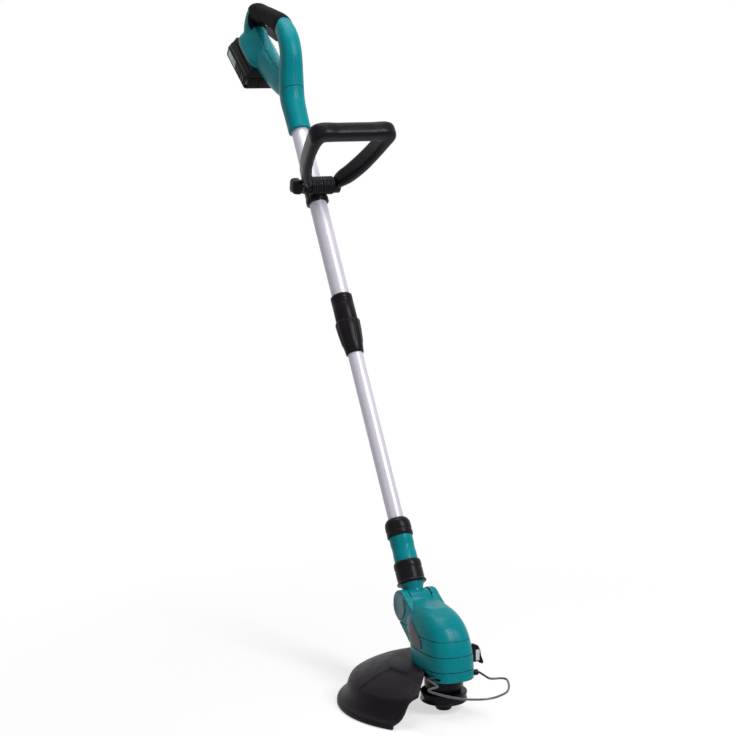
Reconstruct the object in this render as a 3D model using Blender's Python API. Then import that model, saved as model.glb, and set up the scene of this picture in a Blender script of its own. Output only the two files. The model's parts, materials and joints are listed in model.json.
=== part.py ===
"""Cordless string trimmer: rear loop handle, telescopic shaft, tilting motor head, guard and spool.

Run with: blender --background --python part.py
Units are metres, +Z is up. The origin is the flat bottom of the bump knob, on the spool's axis.
+X points ahead of the tool, +Y to its left. The shaft has its own frame, an empty on the tilt
pivot: its local Z runs up the shaft, its local X points to the shaft's front.
"""
import math

import bmesh
import bpy
from mathutils import Matrix, Vector

MM = 0.001

# Clearances
GAP = 0.3 * MM
SLIDE_GAP = 0.6 * MM

# Shaft
LEAN = math.radians(32.8)
PIVOT_X = -94.0 * MM
PIVOT_Z = 142.0 * MM
UPPER_TUBE_R = 15.0 * MM
UPPER_TUBE_WALL = 1.2 * MM
LOWER_TUBE_R = 12.6 * MM
LOWER_TUBE_WALL = 1.2 * MM
UPPER_TUBE_FOOT = 458.0 * MM
LOWER_TUBE_FOOT = 92.0 * MM
LOWER_TUBE_TOP = 640.0 * MM
BUSH_LENGTH = 30.0 * MM
CABLE_R = 3.2 * MM
CABLE_LENGTH = 470.0 * MM

# Telescopic twist lock
LOCK_FOOT = 431.5 * MM
LOCK_STEP = 491.0 * MM
LOCK_TOP = 538.5 * MM
LOCK_BODY_R = 18.3 * MM
LOCK_NUT_R = 20.5 * MM
LOCK_NUT_FOOT_R = 14.9 * MM
LOCK_RIBS = 10
LOCK_RIB_HEIGHT = 0.7 * MM
COLLET_LENGTH = 34.0 * MM

# Lower fittings on the shaft
CAP_FOOT = 110.5 * MM
CAP_TOP = 140.5 * MM
CAP_R = 21.0 * MM
SLEEVE_R = 18.8 * MM
SLEEVE_FOOT = 40.0 * MM
COLLAR_FOOT = 33.0 * MM
COLLAR_TOP = 69.0 * MM
COLLAR_R = 21.8 * MM
COLLAR_FLANGE_R = 23.8 * MM
COLLAR_FLANGE = 4.5 * MM
COLLAR_BORE_WALL = 2.4 * MM
COLLAR_TRAVEL = 5.0 * MM
SPRING_SEAT_R = 16.6 * MM
SPRING_STOP = 56.0 * MM
NECK_R = 18.0 * MM
NECK_SPIGOT_R = 11.0 * MM

# Tilt joint
HUB_R = 23.0 * MM
HUB_HALF = 17.0 * MM
EAR_R = 24.2 * MM
EAR_HALF = 30.5 * MM
PIN_R = 5.0 * MM
TILT_BUTTON_R = 20.2 * MM
TILT_BUTTON_THICK = 5.0 * MM
TILT_BUTTON_PROUD = 1.6 * MM
TILT_BUTTON_TRAVEL = 3.0 * MM
TILT_UPRIGHT = math.radians(10.0)
TILT_FLAT = math.radians(88.0)

# Motor housing
HOUSING_FRONT = 50.5 * MM
HOUSING_HALF = 39.0 * MM
HOUSING_FOOT = 56.0 * MM
HOUSING_WALL = 3.0 * MM
HOUSING_POWER = 3.0
GROOVE_DEPTH = 1.6 * MM
GROOVE_WIDTH = 2.6 * MM
GROOVE_HEIGHTS = (72.0 * MM, 95.0 * MM, 117.0 * MM)

# Motor, spool and bump knob
MOTOR_R = 19.0 * MM
MOTOR_FOOT = 64.0 * MM
MOTOR_TOP = 122.0 * MM
SHAFT_R = 2.5 * MM
BASE_R = 30.0 * MM
BASE_FOOT = 31.5 * MM
BASE_FLANGE_R = 32.2 * MM
BASE_FLANGE = 3.0 * MM
PLATE_FOOT = 57.0 * MM
PLATE_TOP = 60.0 * MM
SPOOL_R = 36.0 * MM
SPOOL_FOOT = 15.0 * MM
SPOOL_TOP = 30.8 * MM
SPOOL_WALL = 2.2 * MM
REEL_R = 29.0 * MM
REEL_CORE_R = 12.0 * MM
REEL_FLANGE = 1.4 * MM
REEL_TOP = 27.8 * MM
KNOB_R = 14.2 * MM
KNOB_HEAD_R = 12.0 * MM
KNOB_TRAVEL = 4.0 * MM
EYELET_R = 4.0 * MM

# Guard
GUARD_X = -38.6 * MM
GUARD_WALL = 2.6 * MM
GUARD_START = math.radians(-37.0)
GUARD_END = math.radians(-232.0)
GUARD_LIFT = 1.0 * MM
GUARD_FRONT = 55.0 * MM
GUARD_STEPS = 30
BLADE_HALF = 1.0 * MM

# Flower guard wire
WIRE_R = 1.7 * MM
WIRE_X = 31.0 * MM
WIRE_Z = 62.0 * MM
WIRE_OUT = 4.5 * MM
SOCKET_SEAT = 4.5 * MM
WIRE_REACH = 115.0 * MM
SOCKET_R = 4.6 * MM

# D-shaped front handle and its clamp
CLAMP_S = 734.0 * MM
CLAMP_LENGTH = 42.0 * MM
CLAMP_HALF = 20.0 * MM
D_EYE = 12.0 * MM
KNOB_SEAT = 3.7 * MM
CLAMP_WALL = 4.5 * MM
BOLT_X = 27.0 * MM
BOLT_R = 3.0 * MM
BOSS_R = 15.5 * MM
D_TILT = math.radians(2.0)
D_POWER = 3.4

# Rear handle, battery
HANDLE_FOOT = 855.0 * MM
UPPER_TUBE_TOP = HANDLE_FOOT + 80.0 * MM
DOCK_X = -113.0 * MM
DOCK_RISE = 275.0 * MM
DOCK_RIDGE = 9.0 * MM
BATTERY_SLANT = math.radians(22.6)
LOCK_OFF_R = 7.0 * MM
LOCK_OFF_X = 34.0 * MM
LOCK_OFF_RISE = 151.0 * MM
LOCK_OFF_FACE = 20.6 * MM
GRIP_ROWS = (11, 20)
GRIP_SPREAD = math.radians(118.0)
LATCH_TRAVEL = 3.0 * MM
HANDLE_WALL = 3.0 * MM
SOFT_GRIP_THICK = 2.6 * MM
GRIP_GAP = 0.5 * MM
TRIGGER_HALF = 6.0 * MM
TRIGGER_PIVOT = (-18.9 * MM, 221.0 * MM)
TRIGGER_TURN = math.radians(10.0)
TRIGGER_GAP = 1.2 * MM
BATTERY_REAR = 4.0 * MM
BATTERY_LENGTH = 109.0 * MM
BATTERY_STEP = 9.0 * MM
BATTERY_HALF = 35.5 * MM
BATTERY_DEPTH = 46.0 * MM
CELL_R = 9.0 * MM
CELL_LENGTH = 65.0 * MM
CELL_COUNT = 5


def clear_scene():
    for item in list(bpy.data.objects):
        bpy.data.objects.remove(item, do_unlink=True)


def material(name, colour, roughness, metallic=0.0):
    made = bpy.data.materials.new(name)
    made.use_nodes = True
    shader = made.node_tree.nodes["Principled BSDF"]
    shader.inputs["Base Color"].default_value = (*colour, 1.0)
    shader.inputs["Roughness"].default_value = roughness
    shader.inputs["Metallic"].default_value = metallic
    made.diffuse_color = (*colour, 1.0)
    return made


def frame_empty(name, location, lean=0.0, parent=None):
    empty = bpy.data.objects.new(name, None)
    bpy.context.collection.objects.link(empty)
    empty.parent = parent
    empty.location = location
    empty.rotation_euler = (0.0, lean, 0.0)
    return empty


def solid(name, points, faces, look=None, parent=None, guide=False):
    """Makes one object from points and faces, with its faces turned outwards."""
    mesh = bpy.data.meshes.new(name)
    shape = bmesh.new()
    verts = [shape.verts.new(point) for point in points]
    for face in faces:
        shape.faces.new([verts[index] for index in face])
    bmesh.ops.recalc_face_normals(shape, faces=shape.faces)
    shape.to_mesh(mesh)
    shape.free()
    mesh.shade_smooth()
    mesh.set_sharp_from_angle(angle=math.radians(35.0))
    made = bpy.data.objects.new(name, mesh)
    bpy.context.collection.objects.link(made)
    made.parent = parent
    if look:
        mesh.materials.append(look)
    if guide:
        made.hide_render = True
        made.display_type = "WIRE"
    return made


def boolean(target, other, operation="DIFFERENCE", solver="MANIFOLD"):
    step = target.modifiers.new(operation.title(), "BOOLEAN")
    step.operation = operation
    step.solver = solver
    step.object = other


def turned_data(profile, count=24, axis="Z", place=(0.0, 0.0, 0.0)):
    """Points and faces of a closed profile of (radius, height) turned about an axis."""
    points, rings = [], []
    for radius, height in profile:
        if radius < 1e-7:
            rings.append([len(points)])
            points.append((0.0, 0.0, height))
            continue
        rings.append(list(range(len(points), len(points) + count)))
        for step in range(count):
            angle = 2.0 * math.pi * step / count
            points.append((radius * math.cos(angle), radius * math.sin(angle), height))
    faces = []
    for index, ring in enumerate(rings):
        following = rings[(index + 1) % len(rings)]
        if len(ring) == 1 and len(following) == 1:
            continue
        for step in range(count):
            after = (step + 1) % count
            if len(ring) == 1:
                faces.append((ring[0], following[step], following[after]))
            elif len(following) == 1:
                faces.append((ring[step], ring[after], following[0]))
            else:
                faces.append((ring[step], ring[after], following[after], following[step]))
    if axis == "Y":
        points = [(x, z, -y) for x, y, z in points]
    points = [tuple(Vector(point) + Vector(place)) for point in points]
    return points, faces


def turned(name, profile, look=None, parent=None, count=24, axis="Z", place=(0, 0, 0), guide=False):
    points, faces = turned_data(profile, count, axis, place)
    return solid(name, points, faces, look, parent, guide)


def disc(radius, low, high):
    """Profile of a plain cylinder."""
    return [(0.0, low), (radius, low), (radius, high), (0.0, high)]


def tube(inner, outer, low, high):
    """Profile of a plain tube."""
    return [(inner, low), (outer, low), (outer, high), (inner, high)]


def lofted(name, rings, look=None, parent=None, closed=False, guide=False):
    """Skins a list of rings that all have the same number of points."""
    count = len(rings[0])
    points = [tuple(point) for ring in rings for point in ring]
    faces = []
    spans = len(rings) if closed else len(rings) - 1
    for span in range(spans):
        here, there = span * count, ((span + 1) % len(rings)) * count
        for step in range(count):
            after = (step + 1) % count
            faces.append((here + step, here + after, there + after, there + step))
    if not closed:
        faces.append(tuple(range(count)))
        faces.append(tuple(range((len(rings) - 1) * count, len(rings) * count)))
    return solid(name, points, faces, look, parent, guide)


def prism(name, outline, low, high, look=None, parent=None, plane="XZ", guide=False):
    """Extrudes an outline of (x, z) points from low to high along Y, or (x, y) along Z."""
    rings = []
    for depth in (low, high):
        if plane == "XZ":
            rings.append([(a, depth, b) for a, b in outline])
        else:
            rings.append([(a, b, depth) for a, b in outline])
    return lofted(name, rings, look, parent, guide=guide)


def block(name, low, high, look=None, parent=None, guide=False):
    outline = [(low[0], low[1]), (high[0], low[1]), (high[0], high[1]), (low[0], high[1])]
    return prism(name, outline, low[2], high[2], look, parent, plane="XY", guide=guide)


def rounded(item, width, segments=2, angle=40.0):
    bevel = item.modifiers.new("Bevel", "BEVEL")
    bevel.width = width
    bevel.segments = segments
    bevel.limit_method = "ANGLE"
    bevel.angle_limit = math.radians(angle)
    return item


def smooth_rows(rows, steps, closed=False):
    """Catmull-Rom rows through the given rows of numbers."""
    total = len(rows)
    made = []
    for index in range(total if closed else total - 1):
        picks = []
        for shift in (-1, 0, 1, 2):
            at = index + shift
            at = at % total if closed else min(max(at, 0), total - 1)
            picks.append(rows[at])
        for step in range(steps):
            t = step / steps
            made.append(tuple(
                0.5 * (2 * b + (c - a) * t + (2 * a - 5 * b + 4 * c - d) * t * t
                       + (3 * b - a - 3 * c + d) * t ** 3)
                for a, b, c, d in zip(*picks)))
    if not closed:
        made.append(rows[-1])
    return made


def super_ring(half_a, half_b, count, power=2.3):
    """Points of a rounded section with the given half widths."""
    ring = []
    for step in range(count):
        angle = 2.0 * math.pi * (step + 0.5) / count
        ca, sa = math.cos(angle), math.sin(angle)
        ring.append((half_a * math.copysign(abs(ca) ** (2 / power), ca),
                     half_b * math.copysign(abs(sa) ** (2 / power), sa)))
    return ring


def swept(name, rows, look=None, parent=None, closed=False, count=16, inset=0.0, guide=False,
          power=2.3):
    """Sweeps rounded sections along rows of (x, z, half depth, half width) in the plane Y = 0."""
    rings = []
    total = len(rows)
    for index, (x, z, half_a, half_b) in enumerate(rows):
        if closed:
            back, ahead = rows[index - 1], rows[(index + 1) % total]
        else:
            back, ahead = rows[max(index - 1, 0)], rows[min(index + 1, total - 1)]
        run = Vector((ahead[0] - back[0], 0.0, ahead[1] - back[1])).normalized()
        side = Vector((run.z, 0.0, -run.x))
        centre = Vector((x, 0.0, z))
        rings.append([centre + side * a + Vector((0.0, b, 0.0))
                      for a, b in super_ring(half_a - inset, half_b - inset, count, power)])
    return lofted(name, rings, look, parent, closed, guide)


def shaft_tubes(shaft, looks):
    turned("upper_tube", tube(UPPER_TUBE_R - UPPER_TUBE_WALL, UPPER_TUBE_R, UPPER_TUBE_FOOT,
                              UPPER_TUBE_TOP), looks["grey_tube"], shaft)
    turned("lower_tube", tube(LOWER_TUBE_R - LOWER_TUBE_WALL, LOWER_TUBE_R, LOWER_TUBE_FOOT,
                              LOWER_TUBE_TOP), looks["grey_tube"], shaft)
    bush_r = UPPER_TUBE_R - UPPER_TUBE_WALL - GAP / 2
    top = LOWER_TUBE_TOP + GAP
    turned("tube_bush", tube(CABLE_R + 2 * MM, bush_r, top, top + BUSH_LENGTH),
           looks["black_plastic"], shaft)
    foot = LOWER_TUBE_FOOT + 2 * MM
    turned("motor_cable", disc(CABLE_R, foot, foot + CABLE_LENGTH), looks["black_rubber"], shaft,
           count=10)


def ribbed_sleeve(name, stations, bore, look, parent, ribs, height):
    """A turned sleeve whose outside carries shallow grip ribs."""
    count = ribs * 4
    rings = []
    outer = [(s, r, fade) for s, r, fade in stations]
    for s, r, fade in outer:
        ring = []
        for step in range(count):
            angle = 2.0 * math.pi * step / count
            lift = height * fade * (1.0 if step % 4 in (1, 2) else 0.0)
            ring.append(((r + lift) * math.cos(angle), (r + lift) * math.sin(angle), s))
        rings.append(ring)
    for s in (stations[-1][0], stations[0][0]):
        rings.append([(bore * math.cos(2.0 * math.pi * k / count),
                       bore * math.sin(2.0 * math.pi * k / count), s) for k in range(count)])
    return lofted(name, rings, look, parent, closed=True)


def twist_lock(shaft, looks):
    bore = UPPER_TUBE_R + GAP
    turned("lock_body", [(bore, LOCK_STEP + GAP), (LOCK_BODY_R, LOCK_STEP + GAP),
                         (LOCK_BODY_R, LOCK_TOP - 2 * MM), (LOCK_BODY_R - 2 * MM, LOCK_TOP),
                         (bore, LOCK_TOP)], looks["black_plastic"], shaft)
    stations = [(LOCK_STEP, LOCK_BODY_R, 0.0), (LOCK_STEP - 2 * MM, LOCK_NUT_R, 1.0),
                (LOCK_STEP - 20 * MM, LOCK_NUT_R - 1 * MM, 1.0),
                (LOCK_FOOT + 18 * MM, LOCK_NUT_FOOT_R + 2.2 * MM, 1.0),
                (LOCK_FOOT + 12 * MM, LOCK_NUT_FOOT_R + 1.2 * MM, 0.0),
                (LOCK_FOOT, LOCK_NUT_FOOT_R, 0.0)]
    nut = ribbed_sleeve("lock_nut", stations, LOWER_TUBE_R + GAP, looks["black_plastic"], shaft,
                        LOCK_RIBS, LOCK_RIB_HEIGHT)
    collet_foot = UPPER_TUBE_FOOT - 4 * MM
    room = turned("nut_room", disc(UPPER_TUBE_R + 2 * GAP, collet_foot - GAP, LOCK_STEP + 5 * MM),
                  parent=shaft, guide=True)
    boolean(nut, room)
    low, high = collet_foot, UPPER_TUBE_FOOT - GAP
    inner = LOWER_TUBE_R + GAP
    middle = UPPER_TUBE_R - UPPER_TUBE_WALL - GAP / 2
    turned("lock_collet", [(inner, low), (UPPER_TUBE_R, low), (UPPER_TUBE_R, high), (middle, high),
                           (middle, high + COLLET_LENGTH), (inner, high + COLLET_LENGTH)],
           looks["black_plastic"], shaft)


def neck_fittings(shaft, looks):
    bore = LOWER_TUBE_R + GAP
    cap_room = SLEEVE_R + GAP
    turned("tube_cap", [(cap_room, CAP_FOOT), (CAP_R - 1 * MM, CAP_FOOT), (CAP_R, CAP_FOOT + 2 * MM),
                        (CAP_R, CAP_TOP - 12 * MM), (CAP_R - 1.5 * MM, CAP_TOP - 5 * MM),
                        (CAP_R - 5 * MM, CAP_TOP), (bore, CAP_TOP),
                        (bore, CAP_TOP - 5 * MM), (cap_room, CAP_TOP - 8 * MM)],
           looks["black_plastic"], shaft)
    inner = COLLAR_BORE_WALL + NECK_SPIGOT_R
    top = CAP_TOP - 8 * MM - GAP
    seat = COLLAR_FOOT + 7.2 * MM
    turned("neck_sleeve", [(inner, SLEEVE_FOOT), (SPRING_SEAT_R, SLEEVE_FOOT),
                           (SPRING_SEAT_R, SPRING_STOP), (SLEEVE_R, SPRING_STOP), (SLEEVE_R, top),
                           (bore, top), (bore, LOWER_TUBE_FOOT), (inner, LOWER_TUBE_FOOT - GAP)],
           looks["teal"], shaft)
    wall, lip = SLEEVE_R + GAP, NECK_R + GAP
    turned("rotation_collar",
           [(lip, COLLAR_FOOT), (COLLAR_FLANGE_R, COLLAR_FOOT),
            (COLLAR_FLANGE_R, COLLAR_FOOT + COLLAR_FLANGE / 2),
            (COLLAR_R, COLLAR_FOOT + COLLAR_FLANGE), (COLLAR_R + 0.4 * MM, COLLAR_TOP - 3 * MM),
            (COLLAR_R - 0.8 * MM, COLLAR_TOP), (wall, COLLAR_TOP), (wall, seat), (lip, seat)],
           looks["black_plastic"], shaft)
    coil("collar_spring", SLEEVE_R - 0.4 * MM, 0.5 * MM, seat + 0.8 * MM,
         SPRING_STOP - COLLAR_TRAVEL - 0.8 * MM, 3, looks["steel"], shaft)


def tilt_neck(neck, looks):
    """The yoke: a spigot in the sleeve, a round neck and the hub on the tilt pin."""
    shoulder = SLEEVE_FOOT - GAP
    yoke = turned("neck_yoke", [(0, 8 * MM), (NECK_R - 3 * MM, 8 * MM),
                                (NECK_R - 2 * MM, HUB_R + 2 * MM), (NECK_R, HUB_R + 6 * MM),
                                (NECK_R, shoulder), (NECK_SPIGOT_R, shoulder),
                                (NECK_SPIGOT_R, shoulder + 32 * MM), (0, shoulder + 32 * MM)],
                  looks["teal"], neck)
    hub = turned("yoke_hub", disc(HUB_R, -HUB_HALF, HUB_HALF), parent=neck, axis="Y", count=28,
                 guide=True)
    boolean(yoke, hub, "UNION")
    bore = turned("yoke_bore", disc(PIN_R + GAP, -HUB_HALF * 2, HUB_HALF * 2), parent=neck,
                  axis="Y", count=16, guide=True)
    boolean(yoke, bore)


def housing_rings(inset=0.0):
    """Level sections of the motor housing as (height, rear x, front x, half width)."""
    rows = [
        (HOUSING_FOOT, -52.0 * MM, HOUSING_FRONT, HOUSING_HALF),
        (66 * MM, -58.0 * MM, HOUSING_FRONT, HOUSING_HALF),
        (82 * MM, -63.0 * MM, HOUSING_FRONT - 1.5 * MM, HOUSING_HALF),
        (98 * MM, -68.0 * MM, HOUSING_FRONT - 4 * MM, HOUSING_HALF - 0.5 * MM),
        (112 * MM, -75.0 * MM, HOUSING_FRONT - 9 * MM, HOUSING_HALF - 1.5 * MM),
        (126 * MM, -83.0 * MM, HOUSING_FRONT - 16 * MM, HOUSING_HALF - 3.5 * MM),
        (138 * MM, -86.0 * MM, HOUSING_FRONT - 26 * MM, HOUSING_HALF - 7 * MM),
        (148 * MM, -86.0 * MM, HOUSING_FRONT - 42 * MM, HOUSING_HALF - 12 * MM),
        (155 * MM, -84.0 * MM, HOUSING_FRONT - 66 * MM, HOUSING_HALF - 19 * MM),
    ]
    rings = []
    for z, rear, front, half in rows:
        rear, front, half = rear + inset, front - inset, half - inset
        middle, reach = (rear + front) / 2, (front - rear) / 2
        height = z - inset if z > 100 * MM else (z + inset if z < 60 * MM else z)
        rings.append([(middle + a, b, height)
                      for a, b in super_ring(reach, half, 32, HOUSING_POWER)])
    return rings


def housing_shape():
    """The housing's outer solid, with its two round ears and the slot for the yoke's hub."""
    body = lofted("housing_form", housing_rings(), guide=True)
    place = (PIVOT_X, 0.0, PIVOT_Z)
    for side in (-1, 1):
        low, high = sorted((side * (HUB_HALF + GAP), side * EAR_HALF))
        ear = turned(f"ear_form_{side + 1}", disc(EAR_R, low, high), axis="Y", place=place,
                     count=32, guide=True)
        boolean(body, ear, "UNION")
        heel_outline = [(PIVOT_X - 6 * MM, PIVOT_Z - EAR_R + 0.6 * MM), (-40 * MM, 80 * MM),
                        (-20 * MM, 130 * MM), (PIVOT_X + 8 * MM, PIVOT_Z + EAR_R - 2 * MM)]
        heel = prism(f"heel_form_{side + 1}", heel_outline, low, high, guide=True)
        boolean(body, heel, "UNION")
    sweep_r = HUB_R + 3 * GAP
    slot = turned("hub_slot", disc(sweep_r, -HUB_HALF - GAP, HUB_HALF + GAP), axis="Y",
                  place=place, count=32, guide=True)
    boolean(body, slot)
    neck_room = NECK_R + 1.2 * MM
    outline = []
    for lean, side in ((TILT_UPRIGHT, 1), (TILT_FLAT, -1)):
        up = Vector((-math.sin(lean), math.cos(lean)))
        front = Vector((math.cos(lean), math.sin(lean)))
        corners = [front * neck_room * side, front * neck_room * side + up * 90 * MM]
        outline += corners if side > 0 else corners[::-1]
    outline = [(PIVOT_X + x, PIVOT_Z + z) for x, z in outline]
    path = prism("neck_slot", outline, -neck_room, neck_room, guide=True)
    boolean(body, path)
    return body


def groove_cutter(name, height):
    """A ring that cuts a shallow line round the front of the housing."""
    rings = []
    for lift, out in ((-1, 1), (1, 1), (1, 0), (-1, 0)):
        front = HOUSING_FRONT + 20 * MM if out else groove_front(height) - GROOVE_DEPTH
        half = HOUSING_HALF + 20 * MM if out else groove_half(height) - GROOVE_DEPTH
        rear = -110 * MM if out else -80 * MM
        z = height + lift * GROOVE_WIDTH / 2
        rings.append([((rear + front) / 2 + a, b, z)
                      for a, b in super_ring((front - rear) / 2, half, 32, HOUSING_POWER)])
    return lofted(name, rings, closed=True, guide=True)


def at_height(height, pick):
    rows = [(ring[0][2], max(point[0] for point in ring), max(point[1] for point in ring))
            for ring in housing_rings()]
    for low, high in zip(rows, rows[1:]):
        if low[0] <= height <= high[0]:
            t = (height - low[0]) / (high[0] - low[0])
            return low[pick] + (high[pick] - low[pick]) * t
    return rows[-1][pick]


def groove_front(height):
    return at_height(height, 1)


def groove_half(height):
    return at_height(height, 2)


def half_space(name, side):
    """A box that keeps one side of the split plane Y = 0."""
    low, high = sorted((side * GAP / 2, side * 300 * MM))
    return low, high


def motor_housing(looks):
    form = housing_shape()
    for index, height in enumerate(GROOVE_HEIGHTS):
        boolean(form, groove_cutter(f"groove_{index}", height))
    boolean(form, guard_dome("roof_room", GAP, 40 * MM, 1))
    for side in (-1, 1):
        low, high = sorted((side * (HOUSING_HALF - SOCKET_SEAT), side * (HOUSING_HALF + 20 * MM)))
        boolean(form, turned(f"socket_seat_{side + 1}", disc(SOCKET_R + GAP, low, high), axis="Y",
                             place=(WIRE_X, 0, WIRE_Z), count=20, guide=True))
    inner = [[(max(x, -60 * MM), y, z) for x, y, z in ring] for ring in housing_rings(HOUSING_WALL)]
    mouth = [(x, y, z - 20 * MM) for x, y, z in inner[0]]
    cavity = lofted("housing_cavity", [mouth] + inner[:-2], guide=True)
    pin = turned("pin_room", disc(PIN_R + GAP, -26 * MM, EAR_HALF + 5 * MM), axis="Y",
                 place=(PIVOT_X, 0, PIVOT_Z), count=20, guide=True)
    button = turned("button_room", disc(TILT_BUTTON_R + GAP, -EAR_HALF - 5 * MM,
                                        -EAR_HALF + TILT_BUTTON_THICK + TILT_BUTTON_TRAVEL),
                    axis="Y", place=(PIVOT_X, 0, PIVOT_Z), count=32, guide=True)
    for name, side in (("housing_right", -1), ("housing_left", 1)):
        low, high = half_space(name, side)
        shell = block(name, (-200 * MM, low, 0.0), (100 * MM, high, 200 * MM), looks["teal"])
        boolean(shell, form, "INTERSECT")
        for tool in (cavity, pin):
            boolean(shell, tool)
        if side < 0:
            boolean(shell, button)
    place = (PIVOT_X, 0.0, PIVOT_Z)
    face = -EAR_HALF - TILT_BUTTON_PROUD
    turned("tilt_button", [(0.0, face), (TILT_BUTTON_R - 1.5 * MM, face), (TILT_BUTTON_R, face + 1 * MM),
                           (TILT_BUTTON_R, face + TILT_BUTTON_THICK), (0.0, face + TILT_BUTTON_THICK)],
           looks["slate"], axis="Y", place=place, count=32)
    turned("tilt_pin", disc(PIN_R, -22 * MM, EAR_HALF - 2 * MM), looks["steel"], axis="Y",
           place=place, count=20)


def side_plate(looks):
    """The bare dark plate on the housing's right side follows the shell's surface."""
    outline = [(-46 * MM, 134 * MM), (-4 * MM, 112 * MM), (0 * MM, 100 * MM), (-36 * MM, 98 * MM),
               (-58 * MM, 118 * MM)]
    plate = prism("side_plate", outline, -60 * MM, -10 * MM, looks["black_plastic"])
    outer = lofted("plate_outside", housing_rings(-1.2 * MM), guide=True)
    inner = lofted("plate_inside", housing_rings(-GAP), guide=True)
    boolean(plate, outer, "INTERSECT")
    boolean(plate, inner)


def guard_outside():
    """The guard's outside as radii from its centre and heights over the floor."""
    rows = ((0, 70), (60, 68), (80, 62), (100, 55), (120, 45), (129, 37), (135, 20), (140, 12),
            (146, 8), (148.5, 3), (148.5, 0))
    return [(a * MM, b * MM + GUARD_LIFT) for a, b in rows]


def guard_ring(profile, angle):
    return [(GUARD_X + r * math.cos(angle), r * math.sin(angle), z) for r, z in profile]


def guard_angle(step):
    return GUARD_START + (GUARD_END - GUARD_START) * step / GUARD_STEPS


def guard_dome(name, shift, depth, spread):
    """A solid under the guard's roof, for cutting what sits on the roof."""
    rows = [(max(r, 1 * MM), z + shift) for r, z in guard_outside()[:7]]
    profile = rows + [(rows[-1][0], rows[-1][1] - depth), (rows[0][0], rows[-1][1] - depth)]
    rings = [guard_ring(profile, guard_angle(k)) for k in range(-spread, GUARD_STEPS + spread + 1)]
    return lofted(name, rings, guide=True)


def guard_profile():
    """Closed profile of the guard's shell, its inside one wall below the outside."""
    outer = [(max(r, 6 * MM), z) for r, z in guard_outside()]
    inner = []
    for index, (r, z) in enumerate(outer):
        back, ahead = outer[max(index - 1, 0)], outer[min(index + 1, len(outer) - 1)]
        run = Vector((ahead[0] - back[0], ahead[1] - back[1])).normalized()
        inner.append((r + run.y * GUARD_WALL, z - run.x * GUARD_WALL))
    inner[0] = (outer[0][0], inner[0][1])
    inner[-1] = (outer[-1][0] - GUARD_WALL, outer[-1][1])
    return outer + inner[::-1]


def guard(looks):
    profile = guard_profile()
    rings = [guard_ring(profile, guard_angle(step)) for step in range(GUARD_STEPS + 1)]
    item = lofted("guard", rings, looks["black_plastic"])
    plate_outline = [(x, y) for x, y, z in housing_rings(HOUSING_WALL + GAP)[0]]
    plate = prism("guard_plate_form", plate_outline, PLATE_FOOT, PLATE_TOP, plane="XY", guide=True)
    boolean(item, plate, "UNION")
    wall = prism("guard_wall_form", [(-40 * MM, PLATE_FOOT), (-35 * MM, PLATE_FOOT),
                                     (-35 * MM, 69 * MM), (-40 * MM, 69 * MM)],
                 -11 * MM, 11 * MM, guide=True)
    boolean(item, wall, "UNION")
    front = block("guard_front", (GUARD_FRONT, -200 * MM, -20 * MM), (200 * MM, -40 * MM, 100 * MM),
                  guide=True)
    boolean(item, front)
    room = turned("guard_room", [(0, 0), (BASE_R + GAP, 0), (BASE_R + GAP, PLATE_TOP + GAP / 2),
                                 (BASE_FLANGE_R + GAP, PLATE_TOP + GAP / 2),
                                 (BASE_FLANGE_R + GAP, 90 * MM), (0, 90 * MM)], guide=True, count=32)
    boolean(item, room)
    blade = block("line_cutter", (0, -BLADE_HALF, 0), (26 * MM, BLADE_HALF, 16 * MM), looks["steel"])
    near = Vector((math.cos(GUARD_END), math.sin(GUARD_END)))
    across = Vector((near.y, -near.x)) * (BLADE_HALF + GAP)
    spot = Vector((GUARD_X, 0.0)) + near * 118 * MM + across
    blade.location = (spot.x, spot.y, 6 * MM)
    blade.rotation_euler = (0, 0, GUARD_END)


def motor_parts(looks):
    turned("motor_base", [(5 * MM, BASE_FOOT), (BASE_R - 4 * MM, BASE_FOOT), (BASE_R, BASE_FOOT + 7 * MM),
                          (BASE_R, PLATE_TOP + GAP), (BASE_FLANGE_R, PLATE_TOP + GAP),
                          (BASE_FLANGE_R, PLATE_TOP + GAP + BASE_FLANGE),
                          (5 * MM, PLATE_TOP + GAP + BASE_FLANGE)], looks["black_plastic"], count=32)
    turned("motor_can", tube(SHAFT_R + GAP, MOTOR_R, MOTOR_FOOT, MOTOR_TOP), looks["steel"])
    turned("motor_bearing", tube(SHAFT_R + GAP, 5 * MM - GAP, BASE_FOOT + 2 * MM, BASE_FOOT + 8 * MM),
           looks["steel"], count=20)
    turned("motor_shaft", disc(SHAFT_R, REEL_TOP + 1.5 * MM, MOTOR_TOP + 9 * MM), looks["steel"], count=14)
    fan = []
    for blade in range(8):
        for radius, turn in ((6 * MM, 0.0), (15 * MM, 0.1), (15 * MM, 0.3), (6 * MM, 0.5)):
            angle = 2 * math.pi * (blade + turn) / 8
            fan.append((radius * math.cos(angle), radius * math.sin(angle)))
    item = prism("cooling_fan", fan, MOTOR_TOP + 2 * MM, MOTOR_TOP + 7 * MM, looks["black_plastic"],
                 plane="XY")
    boolean(item, turned("fan_bore", disc(SHAFT_R + GAP, 0, 0.2), guide=True, count=14))


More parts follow.
